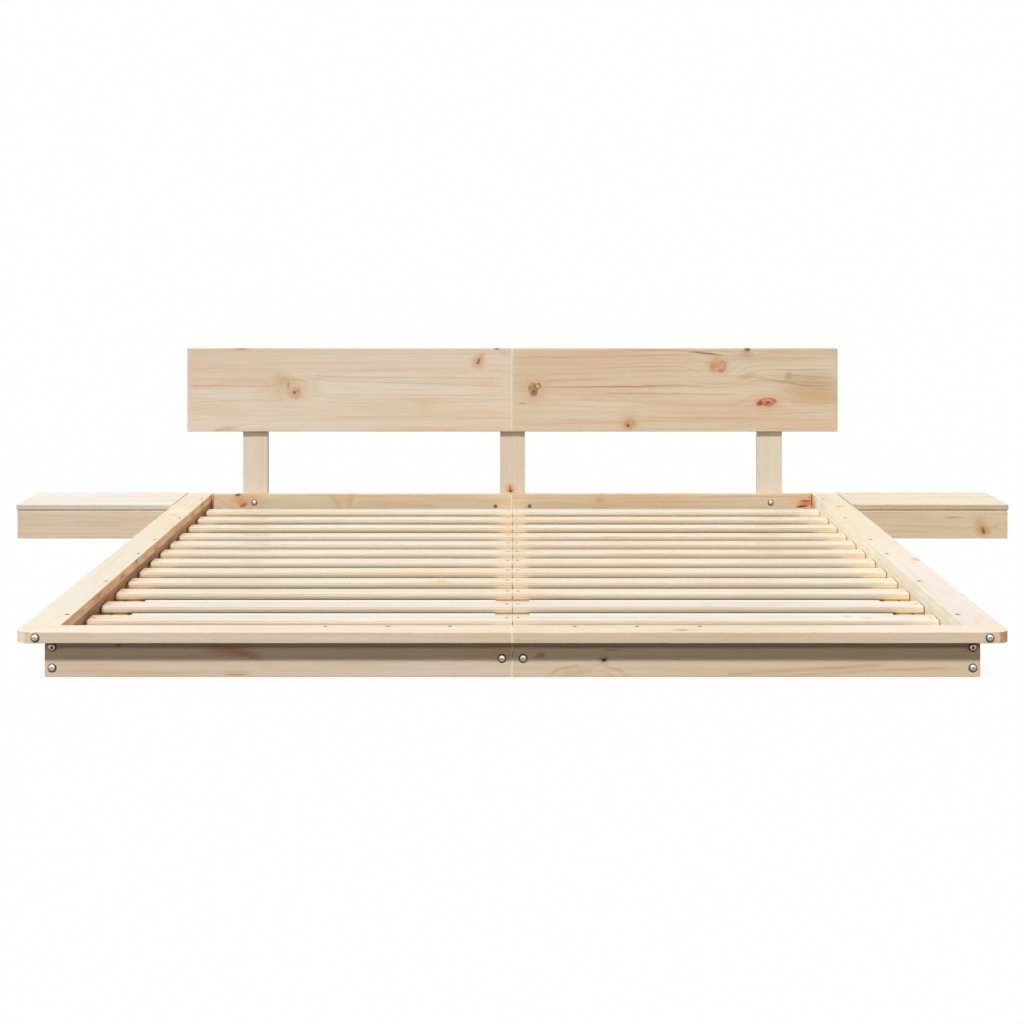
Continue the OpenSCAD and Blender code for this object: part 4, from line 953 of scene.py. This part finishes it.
def screw_mesh(length, d=4.0, head_d=8.6):
    """countersunk wood screw with a cross recess, head face at z = 0"""
    core = d / 2 - 0.55
    rings = [(0.12, -length, 0.2, -length)]
    z = -length + 0.8
    k = 0
    while z < -length * 0.36:
        grow = min(1.0, (z + length) / 6.0)
        rings += [(core * (0.35 + 0.65 * grow), z, 0.6), ((d / 2 - 0.04) * (0.4 + 0.6 * grow), z + 0.75, 0.1)]
        z += 1.5
        k += 1
    rings += [(core + 0.25, z, 0.2), (core + 0.25, -4.0, 0.2), (d / 2 - 0.05, -2.9, 0.3)]
    hr = head_d / 2
    rings += [(hr - 0.25, -0.75, 0.35), (hr - 0.02, -0.5, 0.2), (hr - 0.02, -0.12, 0.1), (hr - 0.16, 0.0, 0.0)]
    c1, c2 = cross_shape(2.45, 0.62), cross_shape(2.3, 0.5)
    rings += [(lambda a: c1(a) + 0.12, 0.0, 0.1), (c2, -0.25, 0.8), (lambda a: c2(a) * 0.72, -1.1, 1.0), (lambda a: min(c2(a), 0.62), -1.9, 1.0, -2.3)]
    return turned(rings, 32)


def dowel_mesh(depth, length, d, hole):
    """cross-dowel nut going down from z = 0, slotted on top; the hole runs along x"""
    r = d / 2 - 0.02
    s1, s2 = slot_shape(r - 1.3, 0.75), slot_shape(r - 1.45, 0.62)
    rings = [(r - 0.5, -length, 0.3), (r, -length + 0.45, 0.1), (r, -0.5, 0.05), (r - 0.45, 0.0, 0.05), (s1, 0.0, 0.2), (s2, -0.15, 0.8), (s2, -1.2, 1.0)]
    v, f, h = turned(rings, 48)
    me = bpy.data.meshes.new("tmp_dowel")
    me.from_pydata(v, [], f)
    ob = bpy.data.objects.new("tmp_dowel", me)
    cut = turned([(hole / 2, -d, 0), (hole / 2, d, 0)], 32)
    cm = bpy.data.meshes.new("tmp_cut")
    cm.from_pydata([(z, y, -x - depth) for x, y, z in cut[0]], [], cut[1])
    cb = bpy.data.objects.new("tmp_cut", cm)
    col = bpy.context.scene.collection
    col.objects.link(ob)
    col.objects.link(cb)
    m = ob.modifiers.new("hole", "BOOLEAN")
    m.operation = "DIFFERENCE"
    m.solver = "EXACT"
    m.object = cb
    bpy.context.view_layer.update()
    ev = ob.evaluated_get(bpy.context.evaluated_depsgraph_get())
    res = bpy.data.meshes.new_from_object(ev)
    bm = bmesh.new()
    bm.from_mesh(res)
    bmesh.ops.remove_doubles(bm, verts=bm.verts, dist=0.01)
    bm.to_mesh(res)
    bm.free()
    verts = [tuple(p.co) for p in res.vertices]
    faces = [tuple(p.vertices) for p in res.polygons]
    hol = []
    for x, y, z in verts:
        rr = math.hypot(x, y)
        if rr < r - 1.0 and z > -1.4:
            hol.append(1.0 if z < -0.1 else 0.3)
        else:
            hol.append(0.9 if math.hypot(y, z + depth) < hole / 2 + 0.05 and abs(x) < r - 0.5 else 0.1)
    bpy.data.objects.remove(ob)
    bpy.data.objects.remove(cb)
    for m in (me, cm, res):
        bpy.data.meshes.remove(m)
    return verts, faces, hol


def rod_mesh(length, d):
    r = d / 2 - 0.02
    rings = [(r - 0.6, 0, 0.2), (r, 0.6, 0.1)]
    rings += thread(0.8, 18.0, r, 1.0, 0.3)
    rings += [(r, 19.0, 0.1), (r, length - 19.0, 0.1)]
    rings += thread(length - 18.0, length - 0.8, r, 1.0, 0.3)
    rings += [(r, length - 0.6, 0.1), (r - 0.6, length, 0.2)]
    return turned(rings, 24)


def facing(direction, spin=0.0):
    """rotation that turns +Z to a direction"""
    z = Vector(direction).normalized()
    return z.to_track_quat("Z", "Y").to_matrix().to_4x4() @ Matrix.Rotation(spin, 4, "Z")


def batch(name, places, mat, replaced):
    """one object holding copies of fastener shapes; places: (mesh data in mm, matrix in m)"""
    verts, faces, hollow = [], [], []
    for (v, f, h), m in places:
        base = len(verts)
        for p in v:
            verts.append(m @ (Vector(p) / 1000))
        faces += [tuple(i + base for i in q) for q in f]
        hollow += h
    me = bpy.data.meshes.new(name)
    me.from_pydata([tuple(v) for v in verts], [], faces)
    att = me.attributes.new("hollow", "FLOAT", "POINT")
    att.data.foreach_set("value", hollow)
    bm = bmesh.new()
    bm.from_mesh(me)
    bmesh.ops.recalc_face_normals(bm, faces=bm.faces)
    sharp = math.radians(38)
    for e in bm.edges:
        if len(e.link_faces) == 2 and e.calc_face_angle(0.0) > sharp:
            e.smooth = False
    for f in bm.faces:
        f.smooth = True
    bm.to_mesh(me)
    bm.free()
    me.materials.append(mat)
    ob = bpy.data.objects.new(name, me)
    bpy.context.scene.collection.objects.link(ob)
    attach(ob, "root")
    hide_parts(*replaced)
    return ob


def put(x, yf, z, direction, spin=0.0):
    return Matrix.Translation(at(x, yf, z)) @ facing(direction, spin)


spin = random.Random(77)
turn = lambda: spin.uniform(0, 2 * math.pi)

b55 = bolt_mesh(55, 8, 24)
# the high pair of foot-board bolts get a deeper socket painted dark as shade; the others' socket floors are painted
# lighter as lit
b55_deep = bolt_mesh(55, 8, 24, clear=False)
b81 = bolt_mesh(81, 8, 26)
b46 = bolt_mesh(46, 6, 20)
b100 = bolt_mesh(100, 6, 26)
b85 = bolt_mesh(85, 8, 32)
places = []
for s in (-1, 1):
    for z, b in ((18, b55), (59, b55_deep)):
        places.append((b, put(s * 916, 46, z, (0, -1, 0), turn())))
    places.append((b55, put(s * 21, 46, 37, (0, -1, 0), turn())))
    places.append((b81, put(s * 21, 2134, 37, (0, 1, 0), turn())))
    for z in (18, 48):
        places.append((b55, put(s * 931, 2094.5, z, (s, 0, 0), turn())))
    for z in (22, 72):
        places.append((b46, put(s * 777, 2082, z, (0, -1, 0), turn())))
    places.append((b100, put(s * 939, 0, 87, (0, -1, 0), turn())))
batch("frame_bolts_turned", places, BOLT, ["frame_bolts"])

cap = cap_mesh(14, 8.2, 6.2)
batch("cap_nuts_turned", [(cap, put(s * 777, 2134, z, (0, 1, 0), turn())) for s in (-1, 1) for z in (22, 72)], BOLT, ["cap_nuts"])
batch("nightstand_bolts_turned", [(b85, put(s * 999, y, 40, (s, 0, 0), turn())) for s in (-1, 1) for y in (1915, 2035)], BOLT, ["nightstand_bolts"])

# cross-dowel nuts: the matrix gives the slotted end's direction and the hole's
dw = {k: dowel_mesh(*k) for k in ((10, 20, 12, 8.2), (11.5, 20, 12, 8.2), (7, 14, 10, 6.2), (8, 16, 12, 8.2), (11.3, 20, 12, 6.2), (11.8, 20, 12, 6.2), (12, 20, 12, 6.2))}


def nut(k, x, yf, z, out_dir, hole_dir):
    zz, xx = Vector(out_dir), Vector(hole_dir)
    yy = zz.cross(xx)
    m = Matrix((xx, yy, zz)).transposed().to_4x4()
    return dw[k], Matrix.Translation(at(x, yf, z)) @ m


places = []
for s in (-1, 1):
    for z in (18, 59):
        places.append(nut((10, 20, 12, 8.2), s * 906, 96, z, (-s, 0, 0), (0, 1, 0)))
    for z in (18, 48):
        places.append(nut((11.5, 20, 12, 8.2), s * 881, 2083, z, (0, -1, 0), (1, 0, 0)))
    places.append(nut((7, 14, 10, 6.2), s * 939, 96, 80, (0, 0, -1), (0, 1, 0)))
    for y in (96, 2058):
        places.append(nut((8, 16, 12, 8.2), s * 21, y, 29, (0, 0, -1), (0, 1, 0)))
    places.append(nut((11.3, 20, 12, 6.2), s * 51.5, 2083.2, 61, (0, -1, 0), (1, 0, 0)))
    places.append(nut((11.8, 20, 12, 6.2), s * 51.5, 70.8, 61, (0, 1, 0), (1, 0, 0)))
    for d in (-1, 1):
        places.append(nut((12, 20, 12, 6.2), s * 930, Y_MID + d * 51.5, 38, (s, 0, 0), (0, 1, 0)))
batch("cross_dowel_nuts_turned", places, CONNECTOR, ["cross_dowel_nuts"])

rod = rod_mesh(112, 6)
places = [(rod, put(-56, y, 61, (1, 0, 0))) for y in (59, 2094.5)] + [(rod, put(s * 918, Y_MID - 56, 38, (0, 1, 0))) for s in (-1, 1)]
batch("seam_connectors_turned", places, CONNECTOR, ["seam_connector_bolts"])

s50, s40, s34 = screw_mesh(50), screw_mesh(40), screw_mesh(34)
places = []
for s in (-1, 1):
    for d in (-892, -500, -113, 113, 500, 892):
        places.append((s50, put(s * 917, Y_MID + d, 97.7, (0, 0, 1), turn())))
    for d in (180, 400, 650, 860):
        for e in (-1, 1):
            places.append((s40, put(s * 881.3, Y_MID + e * d, 32, (-s, 0, 0), turn())))
for x in (-373.5, -249, -124.5, 124.5, 249, 373.5):
    places.append((s50, put(x, 60, 97.7, (0, 0, 1), turn())))
for y in (-780, -390, 0, 390, 780):
    for s in (-1, 1):
        places.append((s40, put(s * 20, Y_MID + y + s * 28, 46.7, (0, 0, 1), turn())))
batch("frame_screws_turned", places, SCREW, ["frame_screws"])
s34_dark = (s34[0], s34[1], [min(1.0, h + 0.6) for h in s34[2]])
s34_pale = (s34[0], s34[1], [h * 0.3 for h in s34[2]])
places = []
for d in (-903, -744.5, -586, -427.5, -285, -142.5, 0, 142.5, 285, 427.5, 586, 744.5, 903):
    for x in (-893, -12, 12, 893):
        places.append((s34_pale if abs(x) > 100 else s34_dark, put(x, Y_MID + d, 62.7, (0, 0, 1), turn())))
batch("slat_screws_turned", places, SLAT_SCREW, ["slat_screws"])
places = [(s40, put(x, 2133.7, z, (0, 1, 0), turn())) for x in (-795, -759, -18, 18, 759, 795) for z in (335, 466)]
batch("headboard_screws_turned", places, SCREW, ["headboard_screws"])

# ------------------------------------------------------- stage, light, camera

fm = bpy.data.materials.new("studio_floor")
fm.use_nodes = True
nt = fm.node_tree
nt.nodes.clear()
t = Tree(nt)
out = t.new("ShaderNodeOutputMaterial")
path = t.new("ShaderNodeLightPath")
ao = t.new("ShaderNodeAmbientOcclusion", samples=8)
ao.inputs["Distance"].default_value = 0.12
em = t.new("ShaderNodeEmission")
shade = t.mix(t.span(ao.outputs["AO"], 0.05, 0.62), lin(252, 242, 228), lin(254.5, 254.5, 254.5))
nt.links.new(shade, em.inputs["Color"])
em.inputs["Strength"].default_value = 1.0
df = t.new("ShaderNodeBsdfDiffuse")
df.inputs["Color"].default_value = (0.11, 0.10, 0.09, 1)
gl = t.new("ShaderNodeEmission")
gl.inputs["Color"].default_value = (1.0, 0.93, 0.84, 1)
gl.inputs["Strength"].default_value = 0.36
m0 = t.new("ShaderNodeMixShader")
nt.links.new(path.outputs["Is Glossy Ray"], m0.inputs[0])
nt.links.new(df.outputs[0], m0.inputs[1])
nt.links.new(gl.outputs[0], m0.inputs[2])
mx = t.new("ShaderNodeMixShader")
nt.links.new(path.outputs["Is Camera Ray"], mx.inputs[0])
nt.links.new(m0.outputs[0], mx.inputs[1])
nt.links.new(em.outputs[0], mx.inputs[2])
nt.links.new(mx.outputs[0], out.inputs[0])
me = bpy.data.meshes.new("floor")
R = 60.0
me.from_pydata([(-R, -R, -0.0003), (R, -R, -0.0003), (R, R, -0.0003), (-R, R, -0.0003)], [], [(0, 1, 2, 3)])
me.materials.append(fm)
floor = bpy.data.objects.new("floor", me)
bpy.context.scene.collection.objects.link(floor)
floor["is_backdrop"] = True

# white studio: seen as white, bright in reflections, dim as fill light
world = bpy.data.worlds.new("studio")
bpy.context.scene.world = world
world.use_nodes = True
nt = world.node_tree
nt.nodes.clear()
t = Tree(nt)
out = t.new("ShaderNodeOutputWorld")
path = t.new("ShaderNodeLightPath")
dim = t.new("ShaderNodeBackground")
dim.inputs["Color"].default_value = (1.0, 0.93, 0.80, 1)
dim.inputs["Strength"].default_value = 0.10
shine = t.new("ShaderNodeBackground")
shine.inputs["Color"].default_value = (1.0, 1.0, 1.0, 1)
wall = t.new("ShaderNodeTexCoord")
_, wy, wz = t.xyz(wall.outputs["Generated"])
back = t.math("MULTIPLY", t.span(wy, 0.2, 0.8), t.span(wz, 0.6, 0.25))
t.put(shine.inputs["Strength"], t.math("MULTIPLY_ADD", back, 0.45, 0.95))
lit = t.new("ShaderNodeBackground")
lit.inputs["Color"].default_value = lin(254.5, 254.5, 254.5)
lit.inputs["Strength"].default_value = 1.0
m0 = t.new("ShaderNodeMixShader")
nt.links.new(path.outputs["Is Glossy Ray"], m0.inputs[0])
nt.links.new(dim.outputs[0], m0.inputs[1])
nt.links.new(shine.outputs[0], m0.inputs[2])
mx = t.new("ShaderNodeMixShader")
nt.links.new(path.outputs["Is Camera Ray"], mx.inputs[0])
nt.links.new(m0.outputs[0], mx.inputs[1])
nt.links.new(lit.outputs[0], mx.inputs[2])
nt.links.new(mx.outputs[0], out.inputs[0])


def distant(name, towards, irradiance, angle, color=(1, 1, 1)):
    """far soft light; the irradiance on a plane that faces it is given over pi"""
    L = bpy.data.lights.new(name, "SUN")
    L.angle = math.radians(angle)
    L.color = color
    L.energy = irradiance * math.pi
    ob = bpy.data.objects.new(name, L)
    ob.rotation_euler = Vector(towards).to_track_quat("Z", "Y").to_euler()
    bpy.context.scene.collection.objects.link(ob)
    return ob


distant("key", (-0.15, -1.0, 0.98), 0.716, 5.5, (1.0, 0.99, 0.97))
distant("high_softbox", (-0.25, 0.45, 0.86), 0.335, 50, (1.0, 0.99, 0.97))
distant("side_softbox", (-1.0, 0.0, 0.08), 0.50, 9, (1.0, 0.99, 0.97))
distant("side_fill", (1.0, 0.0, 0.22), 0.20, 12, (1.0, 0.97, 0.93))
distant("front_fill", (0.0, -0.92, 0.39), 0.136, 5.5, (1.0, 0.93, 0.78))

cam = bpy.data.cameras.new("camera")
cam.sensor_fit = "HORIZONTAL"
cam.sensor_width = 36.0
cam.lens = F / 1024 * 36.0
cam.shift_x = -0.47 / 1024
cam.shift_y = -(512 - 233.2) / 1024
cam.clip_end = 300.0
co = bpy.data.objects.new("camera", cam)
co.location = (0.0, CAM_Y, CAM_Z)
co.rotation_euler = (math.radians(90), 0, 0)
bpy.context.scene.collection.objects.link(co)
bpy.context.scene.camera = co

bpy.context.scene.view_settings.view_transform = "Standard"
bpy.context.scene.view_settings.look = "None"
bpy.context.scene.view_settings.exposure = 0.0
bpy.context.scene.view_settings.gamma = 1.0

bpy.context.view_layer.update()
lo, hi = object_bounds()
